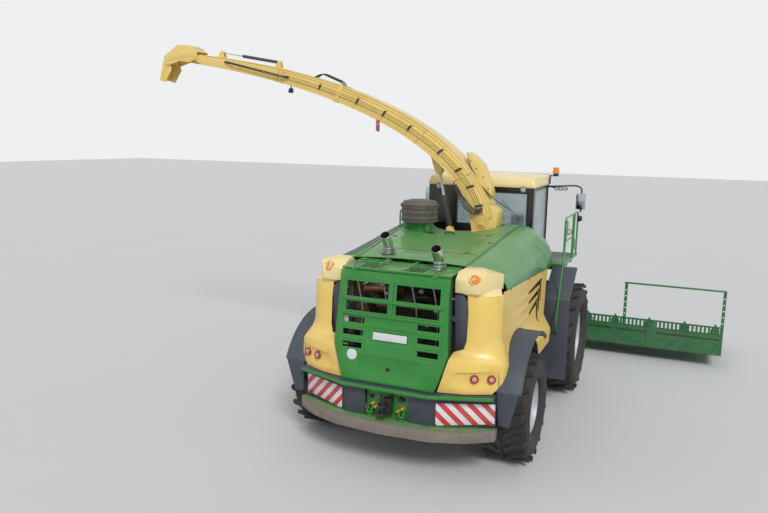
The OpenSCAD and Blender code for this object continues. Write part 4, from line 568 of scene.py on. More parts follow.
def plateInto(bm, corners, depth, edge=0.0):
    corners = [Vector(c) for c in corners]
    depth = Vector(depth)
    front = [bm.verts.new(c) for c in corners]
    back = [bm.verts.new(c + depth) for c in corners]
    faces = [bm.faces.new(front), bm.faces.new(list(reversed(back)))]
    for k in range(len(corners)):
        n = (k + 1) % len(corners)
        faces.append(bm.faces.new((front[k], back[k], back[n], front[n])))
    if edge:
        edges = list({e for f in faces for e in f.edges})
        bmesh.ops.bevel(bm, geom=edges, offset=edge, segments=2, affect="EDGES", profile=0.7)


def blockInto(bm, low, high, edge=2.0):
    plateInto(bm, [(low[0], low[1], low[2]), (high[0], low[1], low[2]), (high[0], high[1], low[2]),
                   (low[0], high[1], low[2])], (0, 0, high[2] - low[2]), edge)


def sheetInto(bm, rows, depth):
    # a skin of the given depth below a grid of points
    m, n = len(rows), len(rows[0])
    rows = [[Vector(p) for p in row] for row in rows]
    top = [[bm.verts.new(p) for p in row] for row in rows]
    low = []
    for i in range(m):
        line = []
        for j in range(n):
            a = rows[min(i + 1, m - 1)][j] - rows[max(i - 1, 0)][j]
            b = rows[i][min(j + 1, n - 1)] - rows[i][max(j - 1, 0)]
            line.append(bm.verts.new(rows[i][j] - depth * a.cross(b).normalized()))
        low.append(line)
    for i in range(m - 1):
        for j in range(n - 1):
            bm.faces.new((top[i][j], top[i + 1][j], top[i + 1][j + 1], top[i][j + 1]))
            bm.faces.new((low[i][j], low[i][j + 1], low[i + 1][j + 1], low[i + 1][j]))
    for i in range(m - 1):
        bm.faces.new((top[i][0], low[i][0], low[i + 1][0], top[i + 1][0]))
        bm.faces.new((top[i][n - 1], top[i + 1][n - 1], low[i + 1][n - 1], low[i][n - 1]))
    for j in range(n - 1):
        bm.faces.new((top[0][j], top[0][j + 1], low[0][j + 1], low[0][j]))
        bm.faces.new((top[m - 1][j], low[m - 1][j], low[m - 1][j + 1], top[m - 1][j + 1]))


def formPiece(name, bm, node, material):
    # rides on the node's body
    bmesh.ops.recalc_face_normals(bm, faces=bm.faces)
    bmesh.ops.transform(bm, matrix=Matrix.Translation(shift) @ Matrix.Scale(0.001, 4), verts=bm.verts)
    mesh = bpy.data.meshes.new(name)
    bm.to_mesh(mesh)
    bm.free()
    smoothShading(mesh, 35)
    addPiece(name, mesh, bodyOf[node], material)


# Geometry Nodes that set copies of an item on the points of a mesh, each turned by the point's own attribute


def repeatTree():
    tree = bpy.data.node_groups.new("repeatOnPoints", "GeometryNodeTree")
    face = tree.interface
    kinds = (("Geometry", "NodeSocketGeometry"), ("Item", "NodeSocketObject"), ("Size", "NodeSocketFloat"),
             ("Size spread", "NodeSocketFloat"), ("Seed", "NodeSocketInt"), ("Finish", "NodeSocketMaterial"))
    names = {}
    for label, kind in kinds:
        names[label] = face.new_socket(label, in_out="INPUT", socket_type=kind).identifier
    face.new_socket("Geometry", in_out="OUTPUT", socket_type="NodeSocketGeometry")
    nodes, links = tree.nodes, tree.links
    source = nodes.new("NodeGroupInput")
    item = nodes.new("GeometryNodeObjectInfo")
    turn = nodes.new("GeometryNodeInputNamedAttribute")
    turn.data_type = "FLOAT_VECTOR"
    turn.inputs["Name"].default_value = "turn"
    low = nodes.new("ShaderNodeMath")
    low.operation = "SUBTRACT"
    high = nodes.new("ShaderNodeMath")
    high.operation = "ADD"
    spread = nodes.new("FunctionNodeRandomValue")
    copies = nodes.new("GeometryNodeInstanceOnPoints")
    real = nodes.new("GeometryNodeRealizeInstances")
    finish = nodes.new("GeometryNodeSetMaterial")
    sink = nodes.new("NodeGroupOutput")
    links.new(source.outputs["Item"], item.inputs["Object"])
    for node in (low, high):
        links.new(source.outputs["Size"], node.inputs[0])
        links.new(source.outputs["Size spread"], node.inputs[1])
    links.new(low.outputs[0], spread.inputs[2])
    links.new(high.outputs[0], spread.inputs[3])
    links.new(source.outputs["Seed"], spread.inputs["Seed"])
    links.new(source.outputs["Geometry"], copies.inputs["Points"])
    links.new(item.outputs["Geometry"], copies.inputs["Instance"])
    links.new(turn.outputs["Attribute"], copies.inputs["Rotation"])
    links.new(spread.outputs[1], copies.inputs["Scale"])
    links.new(copies.outputs[0], real.inputs[0])
    links.new(real.outputs[0], finish.inputs["Geometry"])
    links.new(source.outputs["Finish"], finish.inputs["Material"])
    links.new(finish.outputs[0], sink.inputs[0])
    return tree, names


repeats, repeatSockets = repeatTree()
items = {}


def addItem(name, build):
    bm = bmesh.new()
    build(bm)
    bmesh.ops.recalc_face_normals(bm, faces=bm.faces)
    bmesh.ops.scale(bm, vec=(0.001, 0.001, 0.001), verts=bm.verts)
    mesh = bpy.data.meshes.new(name)
    bm.to_mesh(mesh)
    bm.free()
    items[name] = bpy.data.objects.new(name, mesh)
    scene.collection.objects.link(items[name])


def repeatPiece(name, places, s, node):
    # places: a point in mm and the way that the item's Z looks
    mesh = bpy.data.meshes.new(name)
    mesh.from_pydata([mm(*p) for p, way in places], [], [])
    turn = mesh.attributes.new("turn", "FLOAT_VECTOR", "POINT")
    for k, (p, way) in enumerate(places):
        turn.data[k].vector = Vector(way).to_track_quat("Z", "Y").to_euler()
    carrier = bpy.data.objects.new(name, mesh)
    scene.collection.objects.link(carrier)
    modifier = carrier.modifiers.new("repeat", "NODES")
    modifier.node_group = repeats
    values = {"Item": items[s["item"]], "Size": s.get("size", 1.0), "Size spread": s.get("spread", 0.0),
              "Seed": s.get("seed", 3), "Finish": materials[s["finish"]]}
    for label, value in values.items():
        modifier[repeatSockets[label]] = value
    made = plainMesh(carrier, name)
    bpy.data.objects.remove(carrier)
    smoothShading(made, 35)
    addPiece(name, made, bodyOf[node], s["finish"])


def boltForm(bm):
    turnedInto(bm, [(0, -3), (24, -3), (24, 2), (21, 4), (16, 4)], (0, 0, 0), upright, 16)
    turnedInto(bm, [(16, 4), (15.5, 15), (12, 18), (0, 18)], (0, 0, 0), upright, 6)


def rivetForm(bm):
    turnedInto(bm, [(0, -2), (9, -2), (9, 1), (7, 4), (3.5, 5.6), (0, 6)], (0, 0, 0), upright, 10)


addItem("bolt", boltForm)
addItem("rivet", rivetForm)

# Wheels: bolts, hub caps, bead rings and sidewall rings

wheelDetails = {
    "front_wheel_right": {"hub": (1520, 0, 1015), "side": 1, "dish": 150, "hubRadius": 150, "rim": 533.5,
                          "width": 900, "crown": 960, "bolts": 16, "rimNode": "front_rim_right",
                          "tyreNode": "front_tyre_right"},
    "rear_wheel_right": {"hub": (1515, -3430, 800), "side": 1, "dish": 110, "hubRadius": 105, "rim": 381,
                         "width": 710, "crown": 745, "bolts": 12, "rimNode": "rear_rim_right",
                         "tyreNode": "rear_tyre_right"},
}
for name in list(wheelDetails):
    values = wheelDetails[name].items()
    other = {k: v.replace("right", "left") if isinstance(v, str) else v for k, v in values}
    other["hub"] = (-other["hub"][0], *other["hub"][1:])
    other["side"] = -1
    wheelDetails[name.replace("right", "left")] = other
wheelSettings = {
    "boltGap": 34,  # from the hub's edge to the ring of bolts
    "capHeight": 58,  # of the hub cap over the dish
    "beadSteps": (66, 118),  # of the flange's two rings inside the rim's edge
    # share of the sidewall's height, share of the tyre's width
    "sidewallRings": ((0.22, 0.462), (0.62, 0.492), (0.80, 0.467)),
}


def addWheelDetails(body, s):
    hub, out = Vector(s["hub"]), Vector((s["side"], 0, 0))
    ring = s["hubRadius"] + s["boltGap"]
    places = []
    for k in range(s["bolts"]):
        a = 2 * math.pi * k / s["bolts"]
        places.append((hub + s["dish"] * out + Vector((0, ring * math.cos(a), ring * math.sin(a))), out))
    repeatPiece(body + "Bolts", places, {"item": "bolt", "size": 0.75, "finish": "steel"}, s["rimNode"])
    bm = bmesh.new()
    face, edge = s["dish"] + s["capHeight"], s["hubRadius"]
    cap = [(0, face), (edge - 45, face), (edge - 45, face + 8), (edge - 52, face + 14),
           (edge - 66, face + 16), (edge - 74, face + 8), (28, face + 8), (22, face + 18), (0, face + 20)]
    turnedInto(bm, cap, hub, out, 32)
    for step in s["beadSteps"]:
        r, x = s["rim"] - step, s["width"] * 0.36 - 127
        turnedInto(bm, [(r, x), (r + 7, x - 4), (r + 7, x - 13), (r, x - 13), (r, x)], hub, out, 72)
    formPiece(body + "HubCap", bm, s["rimNode"], "rimSilver")
    bm = bmesh.new()
    for side in (1, -1):
        for share, bulge in s["sidewallRings"]:
            r, x = s["rim"] + share * (s["crown"] - s["rim"]), side * bulge * s["width"]
            turnedInto(bm, [(r, x - 5 * side), (r + 5, x + 3 * side), (r + 12, x + 3 * side),
                            (r + 17, x - 6 * side), (r, x - 5 * side)], hub, out, 80)
    formPiece(body + "SidewallRings", bm, s["tyreNode"], "rubber")


for body, s in wheelDetails.items():
    addWheelDetails(body, {**wheelSettings, **s})
print("stage: wheel details")

# Tailgate: blank round sign, lock, ribs beside the slots, edge strip of the plate

gateSettings = {
    "sign": (-561, 1195), "signRadius": 78,  # across and down the gate's face
    "plate": (262, 838, 952),  # half width, top, foot
    "lock": (0, 1345),
    "lockForm": [(0, -8), (30, -8), (30, 0), (26, 5), (18, 6), (14, 2), (8, 2), (7, 8), (0, 9)],
    # ribs of one half: inner end, outer end, distance down
    "ribs": [(50, 712, 385), (50, 712, 588), (392, 730, 790), (402, 735, 970), (410, 728, 1118)],
    "sweep": [(385, 760), (372, 1140), (470, 1178)],
}


def onGate(x, down, out):
    return gateHinge + Vector((x, 0, 0)) + down * gateDown + out * gateOut


def addGateDetails(s):
    bm = bmesh.new()
    r = s["signRadius"]
    turnedInto(bm, [(0, -1), (r, -1), (r, 1.6), (r - 2, 2.4), (0, 2.4)], onGate(*s["sign"], 0), gateOut, 40)
    formPiece("roundBlankSign", bm, "tailgate", "blankPlate")
    bm = bmesh.new()
    turnedInto(bm, s["lockForm"], onGate(*s["lock"], -6), gateOut, 24)
    x, top, foot = s["plate"]
    outlineInto(bm, [onGate(*p, -3) for p in ((-x, top), (x, top), (x, foot), (-x, foot))], 4)
    formPiece("gateLock", bm, "tailgate", "blackPlastic")
    bm = bmesh.new()
    for side in (-1, 1):
        for x0, x1, down in s["ribs"]:
            tubeInto(bm, [onGate(side * x0, down, 0), onGate(side * x1, down, 0)], 7, 8)
        tubeInto(bm, easedRoute([onGate(side * x, down, 0) for x, down in s["sweep"]], 40), 5, 8)
    formPiece("gateRibs", bm, "tailgate", "paintGreen")


addGateDetails(gateSettings)

# Engine bay behind the tailgate's slots: pipes, fittings, hoses and the cooler's core

engineBay = {
    "bigPipe": [(-620, -3940, 2180), (-620, -4260, 2500), (-260, -4300, 2560), (-120, -3960, 2420)],
    "smallPipe": [(140, -3920, 2150), (150, -4240, 2300), (560, -4280, 2340), (600, -3960, 2200)],
    "turbo": (-330, -4150, 2300),
    "turboForm": [(0, -90), (70, -90), (95, -60), (95, 50), (60, 84), (40, 84), (40, 130), (0, 130)],
    # across and up
    "fittings": [(-560, 2640), (-260, 2600), (-190, 2480), (330, 2560), (560, 2300), (-520, 2320),
                 (420, 2080)],
    "fittingForm": [(0, -20), (34, -20), (38, -10), (38, 18), (26, 30), (26, 44), (14, 52), (0, 54)],
    "risers": (-600, -200, 240, 560),
    # across, up, radius
    "hoses": [(-480, 2420, 26), (80, 2380, 30), (300, 2440, 22), (480, 1900, 28), (-560, 1850, 26)],
    "coolerBars": 22, "barPitch": 32,
    "uprights": (-700, 660),
}


def addEngineBay(s):
    bm = bmesh.new()
    tubeInto(bm, easedRoute(s["bigPipe"], 120), 62, 16)
    tubeInto(bm, easedRoute(s["smallPipe"], 110), 48, 16)
    turnedInto(bm, s["turboForm"], s["turbo"], (1, 0, 0), 28)
    formPiece("enginePipes", bm, "engine_block", "copper")
    bm = bmesh.new()
    studsInto(bm, s["fittingForm"], [(x, -4330, z) for x, z in s["fittings"]], (0.1, -1, 0.1), 16)
    for x in s["risers"]:
        tubeInto(bm, easedRoute([(x, -4330, 1700), (x + 30, -4340, 2250), (x - 60, -4330, 2640)], 90), 14, 8)
    formPiece("engineFittings", bm, "engine_block", "steel")
    bm = bmesh.new()
    for x, z, r in s["hoses"]:
        tubeInto(bm, easedRoute([(x - 180, -3960, z - 120), (x - 90, -4280, z), (x + 110, -4300, z + 40),
                                 (x + 190, -3960, z - 80)], 90), r, 12)
    formPiece("engineHoses", bm, "engine_block", "hose")
    bm = bmesh.new()
    blockInto(bm, (-640, -3985, 1560), (640, -3935, 2300), 6)
    for k in range(s["coolerBars"]):
        z = 1590 + s["barPitch"] * k
        blockInto(bm, (-620, -3992, z), (620, -3984, z + 12), 1.5)
    for x in s["uprights"]:
        blockInto(bm, (x, -4480, 1500), (x + 40, -4440, 2680), 3)
    formPiece("coolerCore", bm, "engine_block", "engineIron")


addEngineBay(engineBay)
print("stage: tailgate and engine bay")

# Hood: seams along the shoulders, handle, latches, side intake screen, stack clamps, drum bands

# y, height at the middle, half width of the crown, height at the shoulder, height of the edge
hoodRows = [(-3950, 2925, 800, 2895, 2622), (-3300, 2955, 830, 2960, 2584.3),
            (-2600, 3005, 870, 3050, 2543.7), (-1900, 3065, 905, 3135, 2503.1),
            (-1350, 3120, 925, 3185, 2471.2), (-900, 3135, 920, 3165, 2445.1), (-520, 3100, 890, 3070, 2435)]
hoodHalfWidth = 1440
hoodSettings = {
    "seamAngles": (3, 6),  # degrees down from the shoulder
    "crossSeams": [(-3300, 800), (-1990, 860)],  # y, half width
    "handle": (-110, 50, -2080), "handleHeight": 58,
    "latches": [(-640, -2060), (-640, -3240), (640, -2060), (640, -3240), (820, -2600), (-820, -2600)],
    "latchPlate": (-420, -2050),
    "screenAngles": (14, 22, 30, 38, 46, 54), "screenReach": (-3800, -1500),
    "rimAngles": (13, 55), "rimEnds": (-3830, -1490),
}


def hoodRowAt(y):
    for a, b in zip(hoodRows, hoodRows[1:]):
        if a[0] <= y <= b[0]:
            t = (y - a[0]) / (b[0] - a[0])
            return [a[k] + (b[k] - a[k]) * t for k in range(5)]
    return list(hoodRows[0] if y < hoodRows[0][0] else hoodRows[-1])


def hoodTop(x, y, proud=13):
    r = hoodRowAt(y)
    return Vector((x, y, r[1] + (r[3] - r[1]) * (x / r[2]) ** 2 + proud))


def hoodSide(a, y, proud=13, side=1):
    # a runs from 0 at the shoulder to 90 degrees at the lower edge
    r = hoodRowAt(y)
    s, c = math.sin(math.radians(a)), math.cos(math.radians(a))
    return Vector((side * (r[2] + (hoodHalfWidth + proud - r[2]) * s), y, r[4] + (r[3] + proud - r[4]) * c))


def addHoodDetails(s):
    bm = bmesh.new()
    for side in (1, -1):
        for a in s["seamAngles"]:
            tubeInto(bm, [hoodSide(a, y, side=side) for y in range(-3930, -620, 110)], 2.6, 6)
    for y, half in s["crossSeams"]:
        tubeInto(bm, [hoodTop(x, y) for x in range(-half, half + 1, 80)], 2.4, 6)
    formPiece("hoodSeams", bm, "hood", "sootAndPaintedShade")
    bm = bmesh.new()
    x0, x1, y = s["handle"]
    foot, height = 8, s["handleHeight"]
    corners = [(x0, foot), (x0, height), (x1, height), (x1, foot)]
    tubeInto(bm, easedRoute([hoodTop(x, y, proud) for x, proud in corners], 24), 9, 10)
    for x, y in s["latches"]:
        p = hoodTop(x, y, 10)
        blockInto(bm, p - Vector((38, 16, 4)), p + Vector((38, 16, 8)), 3)
    p = hoodTop(*s["latchPlate"], 11)
    blockInto(bm, p - Vector((90, 45, 4)), p + Vector((90, 45, 5)), 2)
    for k in range(5):
        blockInto(bm, p + Vector((-78 + 34 * k, -34, 2)), p + Vector((-60 + 34 * k, 34, 9)), 2)
    formPiece("hoodHandle", bm, "hood", "blackPlastic")
    # dark intake screen on the left shoulder with its rim
    bm = bmesh.new()
    rear, front = s["screenReach"]
    sheetInto(bm, [[hoodSide(a, y, 17, -1) for a in s["screenAngles"]] for y in range(rear, front, 115)], -5)
    for y in range(rear + 30, front - 20, 58):
        tubeInto(bm, [hoodSide(a, y, 19, -1) for a in (15, 24, 34, 44, 53)], 2.5, 5)
    formPiece("intakeScreen", bm, "hood", "darkPanel")
    bm = bmesh.new()
    for a in s["rimAngles"]:
        tubeInto(bm, [hoodSide(a, y, 15, -1) for y in range(-3830, -1480, 90)], 11, 8)
    for y in s["rimEnds"]:
        tubeInto(bm, [hoodSide(a, y, 15, -1) for a in range(13, 56, 6)], 11, 8)
    formPiece("intakeScreenRim", bm, "hood", "paintGreen")


addHoodDetails(hoodSettings)

stackSettings = {
    "feet": (2858, 2960), "clamps": (2895, 2990),  # heights on each stack
    "clampForm": [(75, -16), (79, -16), (81, -12), (81, 12), (79, 16), (75, 16), (75, -16)],
    "flangeForm": [(75, 0), (118, 0), (120, 4), (116, 8), (80, 10), (75, 24), (75, 0)],
    "mouthForm": [(69, -6), (77, -6), (78, -1), (74, 2), (69, 2), (69, -6)],
    "reach": 208,  # from the bend to the mouth
}


def addStackDetails(s):
    bm = bmesh.new()
    for (x, y, z), foot, clamp in zip(stackPlaces, s["feet"], s["clamps"]):
        for level in (clamp, z - 60):
            turnedInto(bm, s["clampForm"], (x, y, level), upright, 40)
            blockInto(bm, (x + 74, y - 14, level - 12), (x + 106, y + 14, level + 12), 3)
        turnedInto(bm, s["flangeForm"], (x, y, foot), upright, 40)
        turnedInto(bm, s["mouthForm"], Vector((x, y, z)) + s["reach"] * stackWay, stackWay, 40)
    formPiece("stackClamps", bm, "exhausts", "steel")


addStackDetails(stackSettings)

drumSettings = {
    "middle": (-650, -1900, 0), "radius": 309, "bands": (3252, 3396, 3520), "latches": 6, "latchRing": 322,
    "latchForm": [(0, -26), (12, -26), (14, -20), (14, 26), (8, 34), (0, 34)],
    "lid": [(0, 3612), (150, 3612), (165, 3606), (230, 3600), (235, 3604), (170, 3622), (100, 3626),
            (0, 3627)],
    "stands": [(-830, -2000, 3062), (-470, -2000, 3062)],
    "standForm": [(0, 0), (70, 0), (70, 8), (58, 14), (58, 168), (66, 176), (0, 176)],
}


def addDrumDetails(s):
    bm = bmesh.new()
    r, middle = s["radius"], s["middle"]
    for z in s["bands"]:
        turnedInto(bm, [(r, z), (r + 9, z + 2), (r + 10, z + 14), (r + 9, z + 24), (r, z + 26), (r, z)],
                   middle, upright, 64)
    for k in range(s["latches"]):
        a = 2 * math.pi * k / s["latches"] + 0.3
        ring = Vector((s["latchRing"] * math.cos(a), s["latchRing"] * math.sin(a), s["bands"][-1]))
        turnedInto(bm, s["latchForm"], ring + Vector(middle), upright, 10)
    turnedInto(bm, s["lid"], middle, upright, 48)
    formPiece("drumBands", bm, "intake_drum", "drumBrown")
    bm = bmesh.new()
    studsInto(bm, s["standForm"], s["stands"], upright, 24)
    formPiece("drumStands", bm, "hood", "paintGreen")


addDrumDetails(drumSettings)
print("stage: hood details")

# Lamps: domes, rings and bezels, reflectors and the beacon's ribs

lampSettings = {
    "pod": (1080, -4360, 2790), "podTilt": 65, "podTurn": 40,
    "dome": [(0, 46), (66, 46), (66, 54), (58, 64), (40, 72), (20, 76), (0, 77)],
    "bezel": [(66, 40), (78, 40), (80, 50), (78, 60), (70, 62), (66, 56), (66, 40)],
    "domeTip": [(0, 76), (7, 76), (6, 80), (0, 81)],
    "tailLamps": (1196, 1410), "recess": (900, -4655, 1483), "recessTurn": math.atan2(250, 600),
    "ring": [(34, 22), (60, 22), (60, 27), (56, 33), (46, 36), (36, 33), (34, 28), (34, 22)],
    "centre": [(0, 22), (36, 22), (36, 28), (30, 32), (14, 35), (0, 35.5)],
    "reflector": (1412, -4401, 828),
    "reflectorForm": [(0, -1), (32, -1), (32, 5), (28, 9), (12, 11), (0, 11.5)],
    "beacon": (1160, 900),
    "beaconRibs": ((4036, 66), (4066, 63.5), (4096, 61), (4126, 58.5)),  # height, radius
}


def addLamps(s):
    domes, bezels, rings, centres, reflectors, ribs = (bmesh.new() for k in range(6))
    tilt, turn, a = math.radians(s["podTilt"]), math.radians(s["podTurn"]), s["recessTurn"]
    for side in (1, -1):
        level = math.sin(tilt)
        way = onSide(side, (math.sin(turn) * level, -math.cos(turn) * level, math.cos(tilt)))
        pod = onSide(side, s["pod"])
        turnedInto(domes, s["dome"], pod, way, 36)
        turnedInto(bezels, s["bezel"], pod, way, 40)
        turnedInto(bezels, s["domeTip"], pod, way, 10)
        inner, y, z = s["recess"]
        for x in s["tailLamps"]:
            out = onSide(side, (math.sin(a), -math.cos(a), 0))
            p = onSide(side, (x, y + (x - inner) * math.tan(a), z))
            turnedInto(rings, s["ring"], p, out, 40)
            turnedInto(centres, s["centre"], p, out, 32)
        turnedInto(reflectors, s["reflectorForm"], onSide(side, s["reflector"]), (side * 0.39, -0.92, 0), 28)
    for level, r in s["beaconRibs"]:
        rib = [(r - 3, -4), (r + 1, -4), (r + 2, 0), (r + 1, 4), (r - 3, 4), (r - 3, -4)]
        turnedInto(ribs, rib, (*s["beacon"], level), upright, 36)
    formPiece("cornerLampDomes", domes, "corner_lamps", "amber")
    formPiece("cornerLampBezels", bezels, "lamp_pods", "moulded")
    formPiece("tailLampRings", rings, "corner_lamps", "red")
    formPiece("tailLampCentres", centres, "corner_lamps", "paleLens")
    formPiece("bumperReflectors", reflectors, "corner_lamps", "red")
    formPiece("beaconRibs", ribs, "beacon", "amber")


addLamps(lampSettings)

# Side doors: slats and rims of the vents, pressed lines, lock button

# height, half width at the rear, half width at the front
flankRows = [(1290, 1585, 1640), (1420, 1585, 1640), (1540, 1585, 1640), (1622, 1580, 1634),
             (1700, 1556, 1606), (1850, 1492, 1530), (1995, 1454, 1476), (2350, 1444, 1450),
             (2640, 1440, 1440)]
creaseLine = [(-4060, 1995), (-3430, 1968), (-2900, 1900), (-2150, 1815), (-1400, 1700)]  # y, height
doorSettings = {
    # rear end, front end, heights at the rear and the front end
    "vents": [(-2500, -1560, 2290, 2330), (-2500, -1720, 2130, 2190), (-2500, -1880, 1960, 2050)],
    "slats": 9, "slatPitch": 95,
    "hookDepth": 330,
    "pressedLines": ((18, -3380), (-14, -3240)),  # step up, rear end
    "crease": (-1620, -94, 25),  # first y, step, count
    "lock": (-1480, 2330),
    "lockForm": [(0, -4), (26, -4), (26, 4), (20, 9), (8, 9), (6, 6), (0, 6)],
}


def alongLine(line, x):
    if x <= line[0][0]:
        return line[0][1]
    for a, b in zip(line, line[1:]):
        if x <= b[0]:
            return a[1] + (b[1] - a[1]) * (x - a[0]) / (b[0] - a[0])
    return line[-1][1]


def flankPoint(y, z, proud, side=1):
    low, mid, high = flankRows[0][0], creaseLine[0][1], flankRows[-1][0]
    c, top = alongLine(creaseLine, y), alongLine([(r[0], r[4]) for r in hoodRows], y) - 8
    points = []
    for height, rear, front in flankRows:
        if height <= mid:
            level = low + (height - low) * (c - low) / (mid - low)
        else:
            level = c + (height - mid) * (top - c) / (high - mid)
        points.append((level, rear + (front - rear) * min(1, max(0, (y + 4060) / 1000))))
    return Vector((side * (alongLine(points, z) + proud), y, z))


def addDoorDetails(node, side, s):
    slats, lines, lock = (bmesh.new() for k in range(3))
    for rear, front, zRear, zFront in s["vents"]:
        for k in range(s["slats"]):
            y = front - 20 - s["slatPitch"] * k
            share = (y - rear) / (front - rear)
            z, half = zRear + (zFront - zRear) * share, 44 * share + 14
            ends = ((y + 14, z + half), (y - 14, z - half))
            tubeInto(slats, [flankPoint(y, z, -14, side) for y, z in ends], 5, 6)
        # dark rim of the blade and of its hook
        foot = zFront - s["hookDepth"]
        rim = [(rear, zRear - 8), (front - 61, zFront - 42), (front - 70, foot), (front - 40, foot),
               (front + 40, zFront + 30), (rear, zRear + 14)]
        for (y0, z0), (y1, z1) in zip(rim, rim[1:] + rim[:1]):
            line = [(y0 + (y1 - y0) * t / 8, z0 + (z1 - z0) * t / 8) for t in range(9)]
            tubeInto(slats, [flankPoint(y, z, 1, side) for y, z in line], 7, 6)
        for step, reach in s["pressedLines"]:
            line = [(rear - 30 + (reach - rear) * t / 12, zRear + step + 10 * t / 12) for t in range(13)]
            tubeInto(lines, [flankPoint(y, z, -2, side) for y, z in line], 9, 8)
    first, pitch, count = s["crease"]
    for y in (first + pitch * k for k in range(count)):
        tubeInto(lines, [flankPoint(v, alongLine(creaseLine, v) + 4, -2, side) for v in (y, y + pitch)], 6, 6)
    turnedInto(lock, s["lockForm"], flankPoint(*s["lock"], 0, side), (side, 0, 0), 24)
    formPiece(node + "Lock", lock, node, "steel")
    # the vents' slats and rims are near black: painted shade inside and round the vents
    formPiece(node + "Slats", slats, node, "sootAndPaintedShade")
    formPiece(node + "PressedLines", lines, node, "paintYellow")


for node, side in (("side_door_right", 1), ("side_door_left", -1)):
    addDoorDetails(node, side, doorSettings)
print("stage: lamps and side doors")

# Bumper: strip and studs of the lip, panel, plugs and pin of the coupling, board frames, mudguards' beads

bumperSettings = {
    "lip": [(0, -4950), (700, -4900), (1150, -4740), (1500, -4500)],
    "lipStuds": [(-1300, -4610), (-900, -4780), (-420, -4870), (60, -4890), (500, -4870), (960, -4760),
                 (1330, -4590)],
    "lipStudForm": [(0, 782), (13, 782), (13, 785), (9, 788), (0, 788)],
    "panelY": -4686,
    "ears": (205, 262),
    "earForm": [(0, 800), (-96, 808), (-112, 860), (-60, 930), (0, 950)],  # out of the panel, height
    "bolts": [(60, 1150), (120, 1150), (290, 1140), (290, 980), (170, 1010)],
    "boltForm": [(0, -2), (12, -2), (12, 4), (8, 9), (0, 9)],
    "plugs": [(-175, 915), (-215, 960), (170, 905), (238, 950)],
    "plugForm": [(0, 0), (20, 0), (20, 12), (15, 16), (15, 40), (18, 44), (18, 56), (0, 58)],
    "sockets": [(-240, 1060), (236, 1075), (200, 1090)],
    "socketForm": [(0, 0), (30, 0), (30, 22), (24, 30), (24, 46), (0, 48)],
    "pin": (0, -4880, 0),
    "pinForm": [(0, 900), (19.5, 900), (19.5, 1060), (34, 1064), (34, 1080), (14, 1086), (14, 1120),
                (0, 1122)],
    "pinHandle": [(0, -4880, 1100), (0, -4840, 1150), (70, -4790, 1150), (90, -4700, 1120)],
    "boardFoot": ((700, -4690, 785), (1475, -4362, 785)),
    "boardCorners": [(10, 0), (830, 40), (830, 330), (10, 330)],  # along the board's foot, up
    "rearWheel": (-3430, 800),
    # place across, radius, first angle, sweep, thickness, sides
    "beads": [(1810, 1117, 55, 98, 13, 8), (1300, 1125, 57, 94, 6, 6)],
}


def addBumperDetails(s):
    bm = bmesh.new()
    plan = [(-x, y) for x, y in reversed(s["lip"][1:])] + s["lip"]
    outer = [Vector((x, y + 10, 779)) for x, y in plan]
    inner = [p + Vector((0, 62, 0)) for p in reversed(outer)]
    plateInto(bm, outer + inner, (0, 0, 4), 1.2)
    studsInto(bm, s["lipStudForm"], [(x, y, 0) for x, y in s["lipStuds"]], upright, 12)
    formPiece("lipStrip", bm, "bumper_lip", "lipEdge")
    # green back panel of the coupling bay
    bm = bmesh.new()
    y = s["panelY"]
    plateInto(bm, [(-326, y, 786), (326, y, 786), (326, y, 1186), (-326, y, 1186)], (0, 10, 0), 2)
    for side in (-1, 1):
        for x in s["ears"]:
            plateInto(bm, [(side * x, y + out, z) for out, z in s["earForm"]], (side * 12, 0, 0), 2)
        tubeInto(bm, [(side * 195, y - 78, 842), (side * 286, y - 78, 842)], 14, 12)
        tubeInto(bm, [(side * 214, y - 70, 790), (side * 268, y - 70, 790)], 20, 12)
        studsInto(bm, s["boltForm"], [(side * x, y, z) for x, z in s["bolts"]], (0, -1, 0), 10)
        pad = [(96, 1010), (150, 1010), (150, 1110), (96, 1110)]
        plateInto(bm, [(side * x, y, z) for x, z in pad], (0, -16, 0), 4)
    formPiece("couplingPanel", bm, "bumper", "paintGreen")
    bm = bmesh.new()
    studsInto(bm, s["plugForm"], [(x, y, z) for x, z in s["plugs"]], (0, -1, 0.1), 18)
    formPiece("couplingPlugs", bm, "bumper", "amber")
    bm = bmesh.new()
    studsInto(bm, s["socketForm"], [(x, y, z) for x, z in s["sockets"]], (0, -1, -0.1), 20)
    turnedInto(bm, s["pinForm"], s["pin"], upright, 24)
    tubeInto(bm, easedRoute(s["pinHandle"], 26), 9, 8)
    formPiece("couplingPin", bm, "trailer_coupling", "blackPlastic")
    bm = bmesh.new()
    p, q = (Vector(v) for v in s["boardFoot"])
    way = (q - p).normalized()
    out = Vector((way.y, -way.x, 0))
    for side in (1, -1):
        corners = [p + way * a + out * 6 + Vector((0, 0, b)) for a, b in s["boardCorners"]]
        outlineInto(bm, [onSide(side, corner) for corner in corners], 4)
    formPiece("boardFrames", bm, "bumper", "darkPanel")
    bm = bmesh.new()
    y, z = s["rearWheel"]
    for side in (-1, 1):
        for x, r, first, sweep, thickness, sides in s["beads"]:
            angles = [math.radians(first + sweep * k / 40) for k in range(41)]
            route = [(side * x, y + r * math.cos(a), z + r * math.sin(a)) for a in angles]
            tubeInto(bm, route, thickness, sides)
    formPiece("mudguardBeads", bm, "rear_mudguards", "darkPanel")


addBumperDetails(bumperSettings)
print("stage: bumper and coupling")

# Spout: a place on it is t along the arm and a share from the outer curve to the inner one

